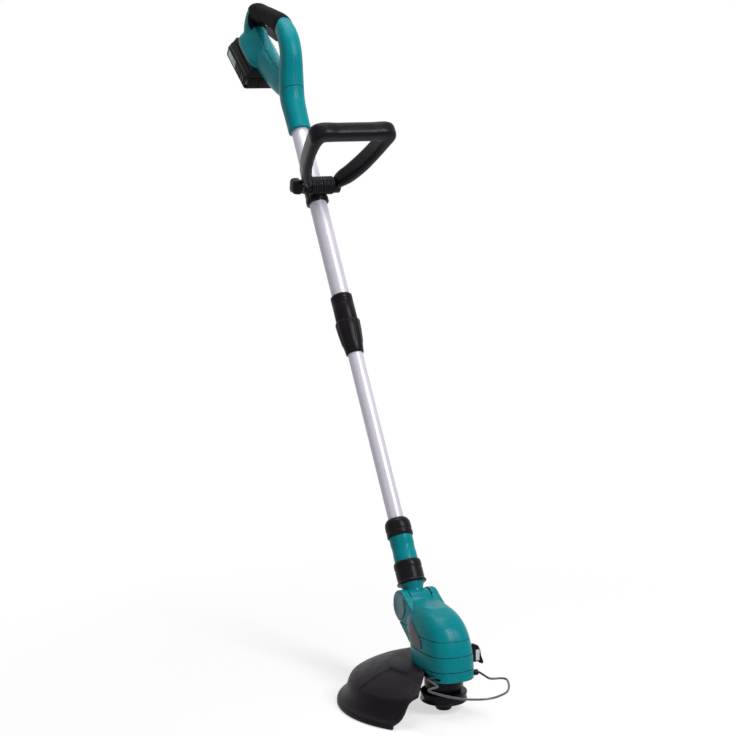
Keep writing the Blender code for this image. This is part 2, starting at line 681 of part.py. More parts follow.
def spool_parts(looks):
    wall = SPOOL_R - SPOOL_WALL
    lid = SPOOL_TOP - SPOOL_WALL
    drum = turned("spool_housing", [(SHAFT_R + GAP, lid), (wall, lid), (wall, SPOOL_FOOT),
                                    (SPOOL_R - 1.5 * MM, SPOOL_FOOT), (SPOOL_R, SPOOL_FOOT + 2 * MM),
                                    (SPOOL_R, SPOOL_TOP - 1.5 * MM), (SPOOL_R - 1.5 * MM, SPOOL_TOP),
                                    (SHAFT_R + GAP, SPOOL_TOP)], looks["black_plastic"], count=32)
    height = (SPOOL_FOOT + SPOOL_TOP) / 2 + 0.6 * MM
    hole = turned("eyelet_room", disc(EYELET_R + GAP, -SPOOL_R * 2, SPOOL_R * 2), axis="Y",
                  place=(0, 0, height), count=16, guide=True)
    boolean(drum, hole)
    for name, side in (("eyelet_left", 1), ("eyelet_right", -1)):
        low, high = sorted((side * (wall - 1 * MM), side * (SPOOL_R + 1.2 * MM)))
        turned(name, tube(1.6 * MM, EYELET_R, low, high), looks["steel"], axis="Y",
               place=(0, 0, height), count=16)
    turned("spool_cover", tube(KNOB_R + 1 * MM, wall - GAP, SPOOL_FOOT, SPOOL_FOOT + 2 * MM),
           looks["black_plastic"], count=32)
    low = SPOOL_FOOT + 2 * MM + SLIDE_GAP
    turned("line_reel", [(5 * MM, low), (REEL_R, low), (REEL_R, low + REEL_FLANGE),
                         (REEL_CORE_R, low + REEL_FLANGE), (REEL_CORE_R, REEL_TOP - REEL_FLANGE),
                         (REEL_R, REEL_TOP - REEL_FLANGE), (REEL_R, REEL_TOP), (5 * MM, REEL_TOP)],
           looks["slate"], count=24)
    turned("line_winding", tube(REEL_CORE_R + GAP, REEL_R - 4 * MM, low + REEL_FLANGE + GAP,
                                REEL_TOP - REEL_FLANGE - GAP), looks["black_rubber"], count=24)
    top = low - KNOB_TRAVEL - 1 * MM
    well = top - 8 * MM
    turned("bump_knob", [(0, 0), (KNOB_HEAD_R - 2 * MM, 0), (KNOB_HEAD_R, 1.2 * MM), (KNOB_R, 6 * MM),
                         (KNOB_R, top), (9 * MM, top), (9 * MM, well), (5.5 * MM, well),
                         (5.5 * MM, top), (4 * MM, top), (4 * MM, top + 6 * MM), (0, top + 6 * MM)],
           looks["black_plastic"], count=24)
    coil("bump_spring", 7.2 * MM, 0.6 * MM, well + 0.9 * MM, low - 0.9 * MM, 4, looks["steel"])


def coil(name, radius, wire, low, high, turns, look, parent=None):
    """One unbroken helical wire with straight caps."""
    rings = []
    steps = turns * 10
    for step in range(steps + 1):
        angle = 2 * math.pi * step / 10
        out = Vector((math.cos(angle), math.sin(angle), 0.0))
        centre = out * radius + Vector((0, 0, low + (high - low) * step / steps))
        rings.append([centre + out * wire * math.cos(k * math.pi / 3)
                      + Vector((0, 0, wire * math.sin(k * math.pi / 3))) for k in range(6)])
    return lofted(name, rings, look, parent)


def flower_guard(looks):
    """The hinged wire guard ahead of the head, bent from one length of rod."""
    half = HOUSING_HALF + WIRE_OUT
    right = [(0, -half + 5.5 * MM), (0, -half + 3 * MM), (0.6 * MM, -half + 1 * MM), (3 * MM, -half),
             (20 * MM, -half), (33 * MM, -half), (38 * MM, -half - 4 * MM), (41 * MM, -half - 16 * MM),
             (46 * MM, -half - 21 * MM), (56 * MM, -half - 20 * MM), (80 * MM, -half - 9 * MM),
             (100 * MM, -38 * MM), (WIRE_REACH - 5 * MM, -22 * MM), (WIRE_REACH, -8 * MM)]
    route = right + [(x, -y) for x, y in right[::-1]]
    route = smooth_rows(route, 2)
    rings = []
    for index, (x, y) in enumerate(route):
        back, ahead = route[max(index - 1, 0)], route[min(index + 1, len(route) - 1)]
        run = Vector((ahead[0] - back[0], ahead[1] - back[1], 0)).normalized()
        side = run.cross(Vector((0, 0, 1)))
        centre = Vector((WIRE_X + x, y, WIRE_Z))
        rings.append([centre + side * WIRE_R * math.cos(k * math.pi / 3)
                      + Vector((0, 0, WIRE_R * math.sin(k * math.pi / 3))) for k in range(6)])
    lofted("flower_guard", rings, looks["steel"])
    for name, side in (("wire_socket_left", 1), ("wire_socket_right", -1)):
        low, high = sorted((side * (HOUSING_HALF - SOCKET_SEAT + GAP), side * (half - WIRE_R - GAP)))
        turned(name, tube(WIRE_R + GAP, SOCKET_R, low, high), looks["black_plastic"], axis="Y",
               place=(WIRE_X, 0, WIRE_Z), count=20)


def handle_rows(rows, steps, inset=0.0):
    rows = [tuple(value * MM for value in row) for row in rows]
    return [(x, HANDLE_FOOT + rise, a - inset, b - inset)
            for x, rise, a, b in smooth_rows(rows, steps)]


def arch_rows(inset=0.0):
    """From the tube's ferrule up the front arm, over the grip and down the rear column."""
    return handle_rows([
        (0, 0, 19.3, 19.3), (0, 35, 19.8, 19.8), (2, 66, 21, 21), (18, 100, 21, 21),
        (39, 133, 19.2, 18.8), (43, 165, 18, 18), (31, 197, 16.5, 15.5), (5, 227, 14.5, 13.8),
        (-25, 255, 14.5, 13.8), (-56, 279, 16.5, 15.5), (-76, 266, 19.5, 19),
        (-86, 239, 21, 21), (-80, 217, 19, 20)], 2, inset)


def bridge_rows(inset=0.0):
    """From the rear column along the battery back to the neck."""
    return handle_rows([(-84, 227, 19, 19.5), (-67, 193, 21.5, 20.5), (-47, 153, 21.5, 20),
                        (-18, 108, 21, 19.5), (1, 83, 17.5, 17.5)], 2, inset)


def dock_line(along, out):
    """A point beside the battery: along its slide, and out from its mating face."""
    direction = Vector((math.sin(BATTERY_SLANT), -math.cos(BATTERY_SLANT)))
    away = Vector((-math.cos(BATTERY_SLANT), -math.sin(BATTERY_SLANT)))
    return Vector((DOCK_X, HANDLE_FOOT + DOCK_RISE)) + direction * along + away * out


def dock_rings(inset=0.0):
    """Sections of the battery dock across the slide direction."""
    rings = []
    for along, depth, near in ((21, 27, 21), (29, 38, 28), (50, 40, 31), (88, 36, 31), (104, 30, 28),
                               (112, 20, 24)):
        along = min(max(along * MM, 21 * MM + inset), 112 * MM - inset)
        depth, near = depth * MM - inset, near * MM - inset
        far = DOCK_RIDGE - inset
        outline = [(inset, -near), (inset, near), (10 * MM, near), (depth, far), (depth, -far),
                   (10 * MM, -near)]
        points = [(dock_line(along, -out), side) for out, side in outline]
        rings.append([(point.x, side, point.y) for point, side in points])
    return rings


def rear_handle(shaft, looks):
    form = swept("handle_form", arch_rows(), parent=shaft, guide=True)
    boolean(form, swept("bridge_form", bridge_rows(), parent=shaft, guide=True), "UNION")
    dock = rounded(lofted("dock_form", dock_rings(), parent=shaft, guide=True), 3 * MM)
    boolean(form, dock, "UNION")
    face = [dock_line(-60 * MM, 0), dock_line(200 * MM, 0), dock_line(200 * MM, 90 * MM),
            dock_line(-60 * MM, 90 * MM)]
    boolean(form, prism("dock_face", [tuple(p) for p in face], -90 * MM, 90 * MM, parent=shaft,
                        guide=True))
    cavity = swept("arch_cavity", arch_rows(HANDLE_WALL)[6:-1], parent=shaft, guide=True, count=10)
    boolean(cavity, swept("bridge_cavity", bridge_rows(HANDLE_WALL)[:-1], parent=shaft,
                          guide=True, count=10), "UNION")
    trim = prism("cavity_trim", [tuple(p) for p in (
        dock_line(-60 * MM, -HANDLE_WALL), dock_line(200 * MM, -HANDLE_WALL),
        dock_line(200 * MM, 60 * MM), dock_line(-60 * MM, 60 * MM))], -90 * MM, 90 * MM,
        parent=shaft, guide=True)
    boolean(cavity, trim)
    bore = turned("tube_room", disc(UPPER_TUBE_R + GAP, HANDLE_FOOT - 5 * MM, UPPER_TUBE_TOP + GAP),
                  parent=shaft, guide=True)
    slots = [prism(f"trigger_room_{index}", turned_outline(trigger_outline(TRIGGER_GAP), index / 4),
                   -TRIGGER_HALF - GAP, TRIGGER_HALF + GAP, parent=shaft, guide=True)
             for index in range(5)]
    button = turned("lock_off_room", disc(LOCK_OFF_R + GAP, 0, 40 * MM), axis="Y",
                    place=(LOCK_OFF_X, 0, HANDLE_FOOT + LOCK_OFF_RISE), parent=shaft, guide=True, count=24)
    for name, side in (("handle_shell_right", -1), ("handle_shell_left", 1)):
        low, high = half_space(name, side)
        shell = block(name, (-200 * MM, low, HANDLE_FOOT - 55 * MM),
                      (150 * MM, high, HANDLE_FOOT + 395 * MM), looks["teal"], shaft)
        boolean(shell, form, "INTERSECT", "MANIFOLD")
        for tool in (cavity, bore, *slots):
            boolean(shell, tool, "DIFFERENCE", "MANIFOLD")
        if side > 0:
            boolean(shell, button, "DIFFERENCE", "MANIFOLD")


def trigger_outline(grow=0.0):
    """Side outline of the trigger under the front of the grip, in the shaft's frame."""
    rows = [(16, 197), (-16, 228), (-24, 223), (-22, 211), (-6, 192), (6, 179), (14, 181)]
    middle = Vector((-4 * MM, HANDLE_FOOT + 202 * MM))
    made = []
    for x, rise in rows:
        point = Vector((x * MM, HANDLE_FOOT + rise * MM))
        made.append(tuple(point + (point - middle).normalized() * grow))
    return made


def turned_outline(points, share):
    """The trigger's outline after a share of its full turn about its pivot."""
    angle = TRIGGER_TURN * share
    ca, sa = math.cos(angle), math.sin(angle)
    middle = Vector((TRIGGER_PIVOT[0], HANDLE_FOOT + TRIGGER_PIVOT[1]))
    made = []
    for point in points:
        arm = Vector(point) - middle
        made.append((middle.x + arm.x * ca - arm.y * sa, middle.y + arm.x * sa + arm.y * ca))
    return made


def soft_grip(shaft, looks):
    """Rubber overmould: a C section along the top of the grip, open towards the trigger."""
    rows = arch_rows()
    first, last = GRIP_ROWS
    count, power = 18, 2.3
    rings = []
    for index in range(first, last):
        x, z, half_a, half_b = rows[index]
        run = Vector((rows[index + 1][0] - rows[index - 1][0], 0,
                      rows[index + 1][1] - rows[index - 1][1])).normalized()
        side = Vector((run.z, 0.0, -run.x))
        thick = SOFT_GRIP_THICK * (0.45 if index in (first, last - 1) else 1.0)
        spread = GRIP_SPREAD
        ring = []
        for lift, order in ((GRIP_GAP + thick, 1), (GRIP_GAP, -1)):
            part = []
            for step in range(count + 1):
                angle = -spread + 2 * spread * step / count
                ca, sa = math.cos(angle), math.sin(angle)
                part.append(Vector((x, 0, z))
                            + side * (half_a + lift) * math.copysign(abs(ca) ** (2 / power), ca)
                            + Vector((0, (half_b + lift) * math.copysign(abs(sa) ** (2 / power), sa), 0)))
            ring += part[::order]
        rings.append(ring)
    lofted("soft_grip", rings, looks["black_rubber"], shaft)


def handle_controls(shaft, looks):
    trigger = prism("trigger", trigger_outline(), -TRIGGER_HALF, TRIGGER_HALF, looks["black_plastic"],
                    shaft)
    rounded(trigger, 2 * MM)
    centre = Vector((-30 * MM, HANDLE_FOOT + 258 * MM))
    along, out = Vector((-0.70711, 0.70711)), Vector((0.70711, 0.70711))
    outline = [tuple(centre + along * a * MM + out * b * MM)
               for a, b in ((-8, -6), (8, -6), (8, 6), (-8, 6))]
    prism("power_switch", outline, -7 * MM, 7 * MM, looks["black_plastic"], shaft)
    turned("lock_off_button", [(0, 6 * MM), (LOCK_OFF_R, 6 * MM), (LOCK_OFF_R, LOCK_OFF_FACE - 1 * MM),
                               (LOCK_OFF_R - 1 * MM, LOCK_OFF_FACE), (0, LOCK_OFF_FACE)],
           looks["black_plastic"], shaft, axis="Y",
           place=(LOCK_OFF_X, 0, HANDLE_FOOT + LOCK_OFF_RISE), count=24)


def hollow_box(name, low, high, wall, open_top, look, parent, edge):
    """A rounded case that is open on one side: its top, or else its bottom."""
    case = rounded(block(name, low, high, look, parent), edge, 3)
    inner_low = [value + wall for value in low]
    inner_high = [value - wall for value in high]
    if open_top:
        inner_high[2] = high[2] + 20 * MM
    else:
        inner_low[2] = low[2] - 20 * MM
    boolean(case, block(name + "_room", inner_low, inner_high, parent=parent, guide=True))
    return case


def battery(shaft, looks):
    dock = frame_empty("battery_frame", (DOCK_X, 0, HANDLE_FOOT + DOCK_RISE),
                       math.pi / 2 - BATTERY_SLANT, shaft)
    rear, front = BATTERY_REAR, BATTERY_REAR + BATTERY_LENGTH
    top_rear = rear + BATTERY_STEP
    half, floor, split = BATTERY_HALF, -BATTERY_DEPTH, -20 * MM
    hollow_box("battery_base", (rear, -half, floor), (front, half, split), 2.4 * MM, True,
               looks["black_plastic"], dock, 4 * MM)
    cover = hollow_box("battery_cover", (top_rear, -half, split + GAP), (front, half, -GAP), 2.4 * MM,
                       False, looks["black_plastic"], dock, 2 * MM)
    pitch = (BATTERY_LENGTH - 6 * MM - 2 * CELL_R) / (CELL_COUNT - 1)
    for index in range(CELL_COUNT):
        x = rear + 3 * MM + CELL_R + pitch * index
        turned(f"battery_cell_{index + 1}", disc(CELL_R, -CELL_LENGTH / 2, CELL_LENGTH / 2),
               looks["slate"], dock, axis="Y", place=(x, 0, floor + 4 * MM + CELL_R), count=14)
    boolean(cover, block("latch_room", (top_rear - 5 * MM, -12.4 * MM, -16.4 * MM),
                         (top_rear + 10 * MM, 12.4 * MM, -5.6 * MM), parent=dock, guide=True))
    latch = block("battery_latch", (top_rear - LATCH_TRAVEL - 1 * MM, -12 * MM, -16 * MM),
                  (top_rear + 6 * MM, 12 * MM, -6 * MM), looks["slate"], dock)
    rounded(latch, 1.2 * MM)
    block("terminal_block", (70 * MM, -8 * MM, 8 * MM), (94 * MM, 8 * MM, 16 * MM), looks["slate"], dock)


def d_path():
    """Centre line of the D handle's right half as (out, side, half depth, half width)."""
    rows = [(-3, 6, 4, 9), (11, 7, 5.5, 12), (23, 12, 8, 14), (38, 20, 9, 15), (70, 30.5, 8.4, 16),
            (110, 38.5, 8, 16), (145, 42.5, 10, 15.5), (161, 41.5, 14.5, 14.6), (166.7, 33, 15.2, 13.8),
            (166.7, 12, 14, 13.5), (166.7, -10, 14, 13.5)]
    foot = -CLAMP_HALF
    return [(u * MM, foot - v * MM, a * MM, b * MM) for u, v, a, b in rows]


def front_handle(shaft, looks):
    half_rows = d_path()
    rows = half_rows + [(u, -v, a, b) for u, v, a, b in half_rows[::-1]]
    rows = smooth_rows(rows, 2)
    frame = frame_empty("d_frame", (BOLT_X, 0, CLAMP_S), -D_TILT, shaft)
    rings = []
    for index, (u, v, half_a, half_b) in enumerate(rows):
        back, ahead = rows[max(index - 1, 0)], rows[min(index + 1, len(rows) - 1)]
        run = Vector((ahead[0] - back[0], ahead[1] - back[1], 0)).normalized()
        side = Vector((run.y, -run.x, 0))
        rings.append([Vector((u, v, 0)) + side * a + Vector((0, 0, b))
                      for a, b in super_ring(half_a, half_b, 12, D_POWER)])
    handle = lofted("d_handle", rings, looks["black_plastic"], frame)
    for side in (-1, 1):
        low, high = sorted((side * (CLAMP_HALF + GAP), side * (CLAMP_HALF + GAP + D_EYE)))
        boolean(handle, turned(f"d_boss_{side + 1}", disc(BOSS_R - 2 * MM, low, high), parent=frame, axis="Y",
                               guide=True), "UNION")
    room = BOLT_R + GAP
    boolean(handle, turned("d_bore", disc(room, -60 * MM, 60 * MM), parent=frame, axis="Y",
                           count=16, guide=True))
    ring = turned("tube_clamp", disc(UPPER_TUBE_R + CLAMP_WALL, CLAMP_S - CLAMP_LENGTH / 2,
                                     CLAMP_S + CLAMP_LENGTH / 2), looks["black_plastic"], shaft)
    place = (BOLT_X, 0, CLAMP_S)
    boss = turned("clamp_boss", disc(BOSS_R, -CLAMP_HALF, CLAMP_HALF), parent=shaft, axis="Y",
                  place=place, count=30, guide=True)
    bore = turned("clamp_bore", disc(UPPER_TUBE_R + GAP, CLAMP_S - 50 * MM, CLAMP_S + 50 * MM),
                  parent=shaft, guide=True)
    bolt_way = turned("clamp_bolt_room", disc(room, -60 * MM, 60 * MM), parent=shaft, axis="Y",
                      place=place, count=16, guide=True)
    slot = 0.8 * MM
    split = block("clamp_slot", (10 * MM, -slot, CLAMP_S - 50 * MM),
                  (50 * MM, slot, CLAMP_S + 50 * MM), parent=shaft, guide=True)
    boolean(ring, boss, "UNION", "MANIFOLD")
    for tool in (bore, bolt_way, split):
        boolean(ring, tool, "DIFFERENCE", "MANIFOLD")
    outer = CLAMP_HALF + D_EYE + 2 * GAP
    near = outer + KNOB_SEAT
    turned("clamp_bolt", [(0, -near - 6 * MM), (BOLT_R, -near - 6 * MM), (BOLT_R, outer),
                          (6 * MM, outer), (6 * MM, outer + 4 * MM), (0, outer + 4 * MM)],
           looks["steel"], frame, axis="Y", count=18)
    clamp_knob(frame, looks, -near)


def clamp_knob(frame, looks, near):
    rings = []
    for depth, radius in ((0, 9), (3, 13.5), (14, 13), (17, 9)):
        ring = []
        for step in range(24):
            angle = 2 * math.pi * step / 24
            r = radius * MM * (1 + 0.13 * math.cos(4 * angle))
            ring.append((r * math.cos(angle), near - depth * MM, r * math.sin(angle)))
        rings.append(ring)
    knob = lofted("clamp_knob", rings, looks["black_plastic"], frame)
    boolean(knob, turned("knob_room", disc(BOLT_R + GAP, near - 8 * MM, near + 5 * MM), parent=frame,
                         axis="Y", count=16, guide=True))


def build():
    clear_scene()
    looks = {
        "teal": material("teal", (0.0, 0.17, 0.19), 0.38),
        "slate": material("slate", (0.06, 0.13, 0.16), 0.45),
        "black_plastic": material("black_plastic", (0.015, 0.012, 0.016), 0.45),
        "black_rubber": material("black_rubber", (0.012, 0.01, 0.012), 0.75),
        "grey_tube": material("grey_tube", (0.48, 0.47, 0.53), 0.35, 0.6),
        "steel": material("steel", (0.30, 0.30, 0.32), 0.35, 1.0),
    }
    shaft = frame_empty("shaft_frame", (PIVOT_X, 0.0, PIVOT_Z), lean=-LEAN)
    shaft_tubes(shaft, looks)
    twist_lock(shaft, looks)
    neck_fittings(shaft, looks)
    tilt_neck(shaft, looks)
    motor_housing(looks)
    side_plate(looks)
    guard(looks)
    motor_parts(looks)
    spool_parts(looks)
    flower_guard(looks)
    rear_handle(shaft, looks)
    soft_grip(shaft, looks)
    handle_controls(shaft, looks)
    battery(shaft, looks)
    front_handle(shaft, looks)


build()
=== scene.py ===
"""Looks of the cordless string trimmer: finer moulded surfaces, materials, floor, lights and camera.

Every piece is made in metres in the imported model's frame. +Z is up, +X is ahead of the tool and +Y
is its left. SHAFT, D_FRAME and DOCK place pieces in the frames of the leaning shaft, the front
handle and the battery's slide.
"""
import json
from math import copysign, cos, degrees, pi, radians, sin

import bmesh
import bpy
from mathutils import Matrix, Vector

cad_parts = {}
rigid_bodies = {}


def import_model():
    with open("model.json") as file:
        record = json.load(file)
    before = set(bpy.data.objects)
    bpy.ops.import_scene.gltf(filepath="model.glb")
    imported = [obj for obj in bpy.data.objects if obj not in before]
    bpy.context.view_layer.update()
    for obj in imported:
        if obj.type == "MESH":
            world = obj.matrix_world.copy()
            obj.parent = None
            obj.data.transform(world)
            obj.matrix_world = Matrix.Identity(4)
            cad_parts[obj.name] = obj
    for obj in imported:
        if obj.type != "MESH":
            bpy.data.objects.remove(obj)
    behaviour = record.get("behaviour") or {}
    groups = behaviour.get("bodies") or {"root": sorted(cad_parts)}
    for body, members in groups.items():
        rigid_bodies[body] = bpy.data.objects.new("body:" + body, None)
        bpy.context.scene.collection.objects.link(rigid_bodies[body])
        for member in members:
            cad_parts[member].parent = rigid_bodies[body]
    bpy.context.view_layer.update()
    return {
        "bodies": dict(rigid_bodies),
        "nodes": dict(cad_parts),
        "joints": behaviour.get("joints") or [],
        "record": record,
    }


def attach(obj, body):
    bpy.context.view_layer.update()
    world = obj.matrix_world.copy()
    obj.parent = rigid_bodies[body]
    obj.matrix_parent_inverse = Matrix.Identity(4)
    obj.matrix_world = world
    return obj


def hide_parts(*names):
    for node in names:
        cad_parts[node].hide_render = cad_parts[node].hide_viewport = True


MM = 0.001
GAP = 0.3 * MM
CURVE_SHARE = 0.6
SECTION_POWER = 2.3
REACH = 60 * MM

# Shaft, telescopic lock and neck
LEAN = radians(32.8)
PIVOT = Vector((-94 * MM, 0, 142 * MM))
UPPER_TUBE = (13.8 * MM, 15 * MM, 458 * MM, 935 * MM)
LOWER_TUBE = (11.4 * MM, 12.6 * MM, 92 * MM, 640 * MM)
LOCK_FOOT = 431.5 * MM
LOCK_STEP = 491 * MM
LOCK_TOP = 538.5 * MM
LOCK_BODY_R = 18.3 * MM
LOCK_NUT_R = 20.5 * MM
LOCK_NUT_FOOT_R = 14.9 * MM
LOCK_RIBS = 14
CAP_FOOT = 110.5 * MM
CAP_TOP = 140.5 * MM
CAP_R = 21 * MM
CAP_STEP = 5 * MM
CAP_ROOM = 8 * MM
SLEEVE_R = 18.8 * MM
SLEEVE_BORE = 13.4 * MM
SLEEVE_FOOT = 40 * MM
SPRING_STOP = 56 * MM
SPRING_SEAT_R = 16.6 * MM
COLLAR_FOOT = 33 * MM
COLLAR_TOP = 69 * MM
COLLAR_R = 21.8 * MM
COLLAR_FLANGE_R = 23.8 * MM
COLLAR_FLANGE = 4.5 * MM
COLLAR_SEAT = 7.2 * MM
NECK_R = 18 * MM
SPIGOT_R = 11 * MM
TILT_PIN_R = 5 * MM
HUB_R = 23 * MM
HUB_HALF = 17 * MM
EAR_R = 24.2 * MM
EAR_HALF = 30.5 * MM
TILT_BUTTON_R = 20.2 * MM
TILT_BUTTON_PROUD = 1.6 * MM
TILT_UPRIGHT = radians(10.0)
TILT_FLAT = radians(88.0)

# Motor head
HOUSING_FRONT = 50.5 * MM
HOUSING_HALF = 39 * MM
HOUSING_POWER = 3.0
GROOVE_HEIGHTS = (72 * MM, 95 * MM, 117 * MM)
GROOVE_DEPTH = 1.6 * MM
GROOVE_WIDTH = 2.6 * MM
BASE_R = 30 * MM
BASE_FOOT = 31.5 * MM
BASE_FLANGE_R = 32.2 * MM
BASE_BORE = 5 * MM
PLATE_FOOT = 57 * MM
PLATE_TOP = 60 * MM
SPOOL_R = 36 * MM
SPOOL_FOOT = 15 * MM
SPOOL_TOP = 30.8 * MM
SPOOL_ROOF = 28.6 * MM
SPOOL_ROOM = 33.8 * MM
SPOOL_BORE = 2.8 * MM
EYELET_R = 4 * MM
KNOB_R = 14.2 * MM
KNOB_HEAD_R = 12 * MM

# Guard and wire: GUARD_REACH is in millimetres, and pairs are ramps in degrees or metres
GUARD_X = -38.6 * MM
GUARD_WALL = 2.6 * MM
GUARD_START = radians(-37.0)
GUARD_END = radians(-232.0)
GUARD_LIFT = 1 * MM
GUARD_REACH = 148.5
GUARD_STEPS = 360
GUARD_FRONT = 55 * MM
PANEL_START = (-87.2, -86.2)
PANEL_END = (-62.0, -46.0)
PANEL_INNER = (73 * MM, 75 * MM)
PANEL_OUTER = (124 * MM, 131 * MM)
PANEL_SINK = 1.8 * MM
SLOT_START = (-160.5, -159.5)
SLOT_END = (-155.5, -154.5)
SLOT_INNER = (80 * MM, 81.5 * MM)
SLOT_OUTER = (108 * MM, 109.5 * MM)
SLOT_SINK = 2.1 * MM
LIP_SIDE = (-42.4, -41.6)
LIP_AHEAD = (GUARD_FRONT - 9.5 * MM, GUARD_FRONT - 8.5 * MM)
LIP_OUTER = (138 * MM, 146 * MM)
LIP_RISE = 1.8 * MM
WIRE_R = 1.7 * MM
WIRE_X = 31 * MM
WIRE_Z = 62 * MM
WIRE_HALF = 43.5 * MM
SOCKET_R = 4.6 * MM
SOCKET_SEAT = 4.5 * MM
WIRE_REACH = 115 * MM

# Front handle and clamp
CLAMP_S = 734 * MM
CLAMP_LENGTH = 42 * MM
CLAMP_HALF = 20 * MM
D_EYE = 12 * MM
KNOB_SEAT = 3.7 * MM
CLAMP_WALL = 4.5 * MM
BOLT_X = 27 * MM
BOLT_R = 3 * MM
BOSS_R = 15.5 * MM
D_TILT = radians(2.0)
D_POWER = 3.4

# Rear handle and battery
HANDLE_FOOT = 855 * MM
SLEEVE_LINE = 931 * MM
DOCK_X = -113 * MM
DOCK_Z = 1130 * MM
DOCK_RIDGE = 9 * MM
BATTERY_SLANT = radians(22.6)
BATTERY_REAR = 4 * MM
BATTERY_LENGTH = 109 * MM
BATTERY_FRONT = BATTERY_REAR + BATTERY_LENGTH
BATTERY_TOP = BATTERY_REAR + 9 * MM
BATTERY_HALF = 35.5 * MM
BATTERY_DEPTH = 46 * MM
BATTERY_SPLIT = -20 * MM
BATTERY_WALL = 2.4 * MM
BATTERY_EDGE = 6.5 * MM
BATTERY_CORNER = 13 * MM
GROOVE_SINK = 1.2 * MM
LOCK_OFF = Vector((34 * MM, 0, 1006 * MM))
LOCK_OFF_R = 7 * MM
LOCK_OFF_FACE = 20.6 * MM
GRIP_SPAN = (5.7, 8.85)
GRIP_SPREAD = radians(157.0)
# Extra spread that closes the rubber round the grip's underside behind the trigger: painted shade, black
# where the underside lies in shade
GRIP_SHADE_CLOSING = radians(22.0)
GRIP_SHADE_CLOSES = (0.62, 0.75)
GRIP_ROWS = 12
GRIP_STEPS = 64
SOFT_GRIP_THICK = 1.1 * MM
GRIP_GAP = 0.3 * MM
TRIGGER_HALF = 6 * MM
TRIGGER_PIVOT = (-18.9 * MM, 1076 * MM)
TRIGGER_TURN = radians(10.0)
TRIGGER_ROOM = 1.4 * MM
TRIGGER_STEPS = 8

# Camera fitted to the photograph
CAMERA_PLACE = Vector((2.5168, -1.2906, 0.9999))
CAMERA_AIM = Vector((-0.89560, 0.41365, -0.16366))
CAMERA_FOCAL_PIXELS = 1917.6
PHOTO_PIXELS = 736
SENSOR_MM = 36.0

# Floor, world and lamps: name, place, aim, size and watts
FLOOR_FADE = (0.3, 0.9)
FLOOR_GLOW = 0.62
SOFT_LIGHT = 0.25
LAMPS = (("key", (1.7, 0.9, 2.3), (-0.3, 0.0, 0.5), (0.7, 1.5), 75.0),
         ("fill", (1.4, -2.2, 0.9), (-0.3, 0.0, 0.5), (1.4, 1.6), 4.0),
         ("top", (-0.5, 0.1, 2.6), (-0.3, 0.0, 0.4), (1.6, 1.6), 40.0))

WORLD = Matrix.Identity(4)
SHAFT = Matrix.Translation(PIVOT) @ Matrix.Rotation(-LEAN, 4, "Y")
D_FRAME = SHAFT @ Matrix.Translation((BOLT_X, 0, CLAMP_S)) @ Matrix.Rotation(-D_TILT, 4, "Y")
DOCK = SHAFT @ Matrix.Translation((DOCK_X, 0, DOCK_Z)) @ Matrix.Rotation(pi / 2 - BATTERY_SLANT, 4, "Y")


# Mesh helpers

def add_object(name, data):
    made = bpy.data.objects.new(name, data)
    bpy.context.collection.objects.link(made)
    return made


def solid(name, points, faces, frame=WORLD):
    """One closed mesh object from points in a local frame and faces, facing outwards."""
    mesh = bpy.data.meshes.new(name)
    shape = bmesh.new()
    verts = [shape.verts.new(frame @ Vector(point)) for point in points]
    for face in faces:
        shape.faces.new([verts[index] for index in face])
    bmesh.ops.recalc_face_normals(shape, faces=shape.faces)
    shape.to_mesh(mesh)
    shape.free()
    return add_object(name, mesh)


def bake(item):
    """Applies the object's modifiers to its mesh."""
    graph = bpy.context.evaluated_depsgraph_get()
    mesh = bpy.data.meshes.new_from_object(item.evaluated_get(graph))
    item.modifiers.clear()
    item.data = mesh
    return item


def combine(target, tools, operation="DIFFERENCE"):
    """Adds, cuts or keeps the tools' shapes, which are then removed."""
    for tool in tools:
        step = target.modifiers.new("Combine", "BOOLEAN")
        step.operation = operation
        step.solver = "MANIFOLD"
        step.object = tool
    bake(target)
    for tool in tools:
        bpy.data.objects.remove(tool, do_unlink=True)
    return target


def melted(item, voxel, passes):
    """Remeshes a fused form and relaxes it, so its inner corners become moulded fillets."""
    remesh = item.modifiers.new("Remesh", "REMESH")
    remesh.mode = "VOXEL"
    remesh.voxel_size = voxel
    relax = item.modifiers.new("Relax", "SMOOTH")
    relax.factor = 0.5
    relax.iterations = passes
    return bake(item)


def edged(item, width=0.5 * MM, segments=2, angle=35.0):
    """Rounds the sharp edges of a crisp piece."""
    bevel = item.modifiers.new("Edge", "BEVEL")
    bevel.width = width
    bevel.segments = segments
    bevel.limit_method = "ANGLE"
    bevel.angle_limit = radians(angle)
    return bake(item)


def turned(name, profile, frame=WORLD, count=96, axis="Z", place=(0, 0, 0)):
    """A closed profile of (radius, height) turned about an axis through place."""
    points, rings, faces = [], [], []
    for radius, height in profile:
        total = 1 if radius < 1e-7 else count
        rings.append(list(range(len(points), len(points) + total)))
        points += [polar(radius, 2 * pi * step / count, height) for step in range(total)]
    for index, ring in enumerate(rings):
        following = rings[(index + 1) % len(rings)]
        for step in range(count):
            after = (step + 1) % count
            if len(ring) == 1 and len(following) == 1:
                break
            if len(ring) == 1:
                faces.append((ring[0], following[step], following[after]))
            elif len(following) == 1:
                faces.append((ring[step], ring[after], following[0]))
            else:
                faces.append((ring[step], ring[after], following[after], following[step]))
    if axis == "Y":
        points = [(x, z, -y) for x, y, z in points]
    points = [tuple(Vector(point) + Vector(place)) for point in points]
    return solid(name, points, faces, frame)


def mm(*values):
    """Lengths in metres from millimetres."""
    return tuple(value * MM for value in values)


def tube(inner, outer, low, high):
    return [(inner, low), (outer, low), (outer, high), (inner, high)]


def disc(radius, low, high):
    return tube(0.0, radius, low, high)


def rim(radius, height, steps):
    """Profile points at (radius, height) steps in millimetres from one place on a rim."""
    return [(radius + out * MM, height + up * MM) for out, up in steps]


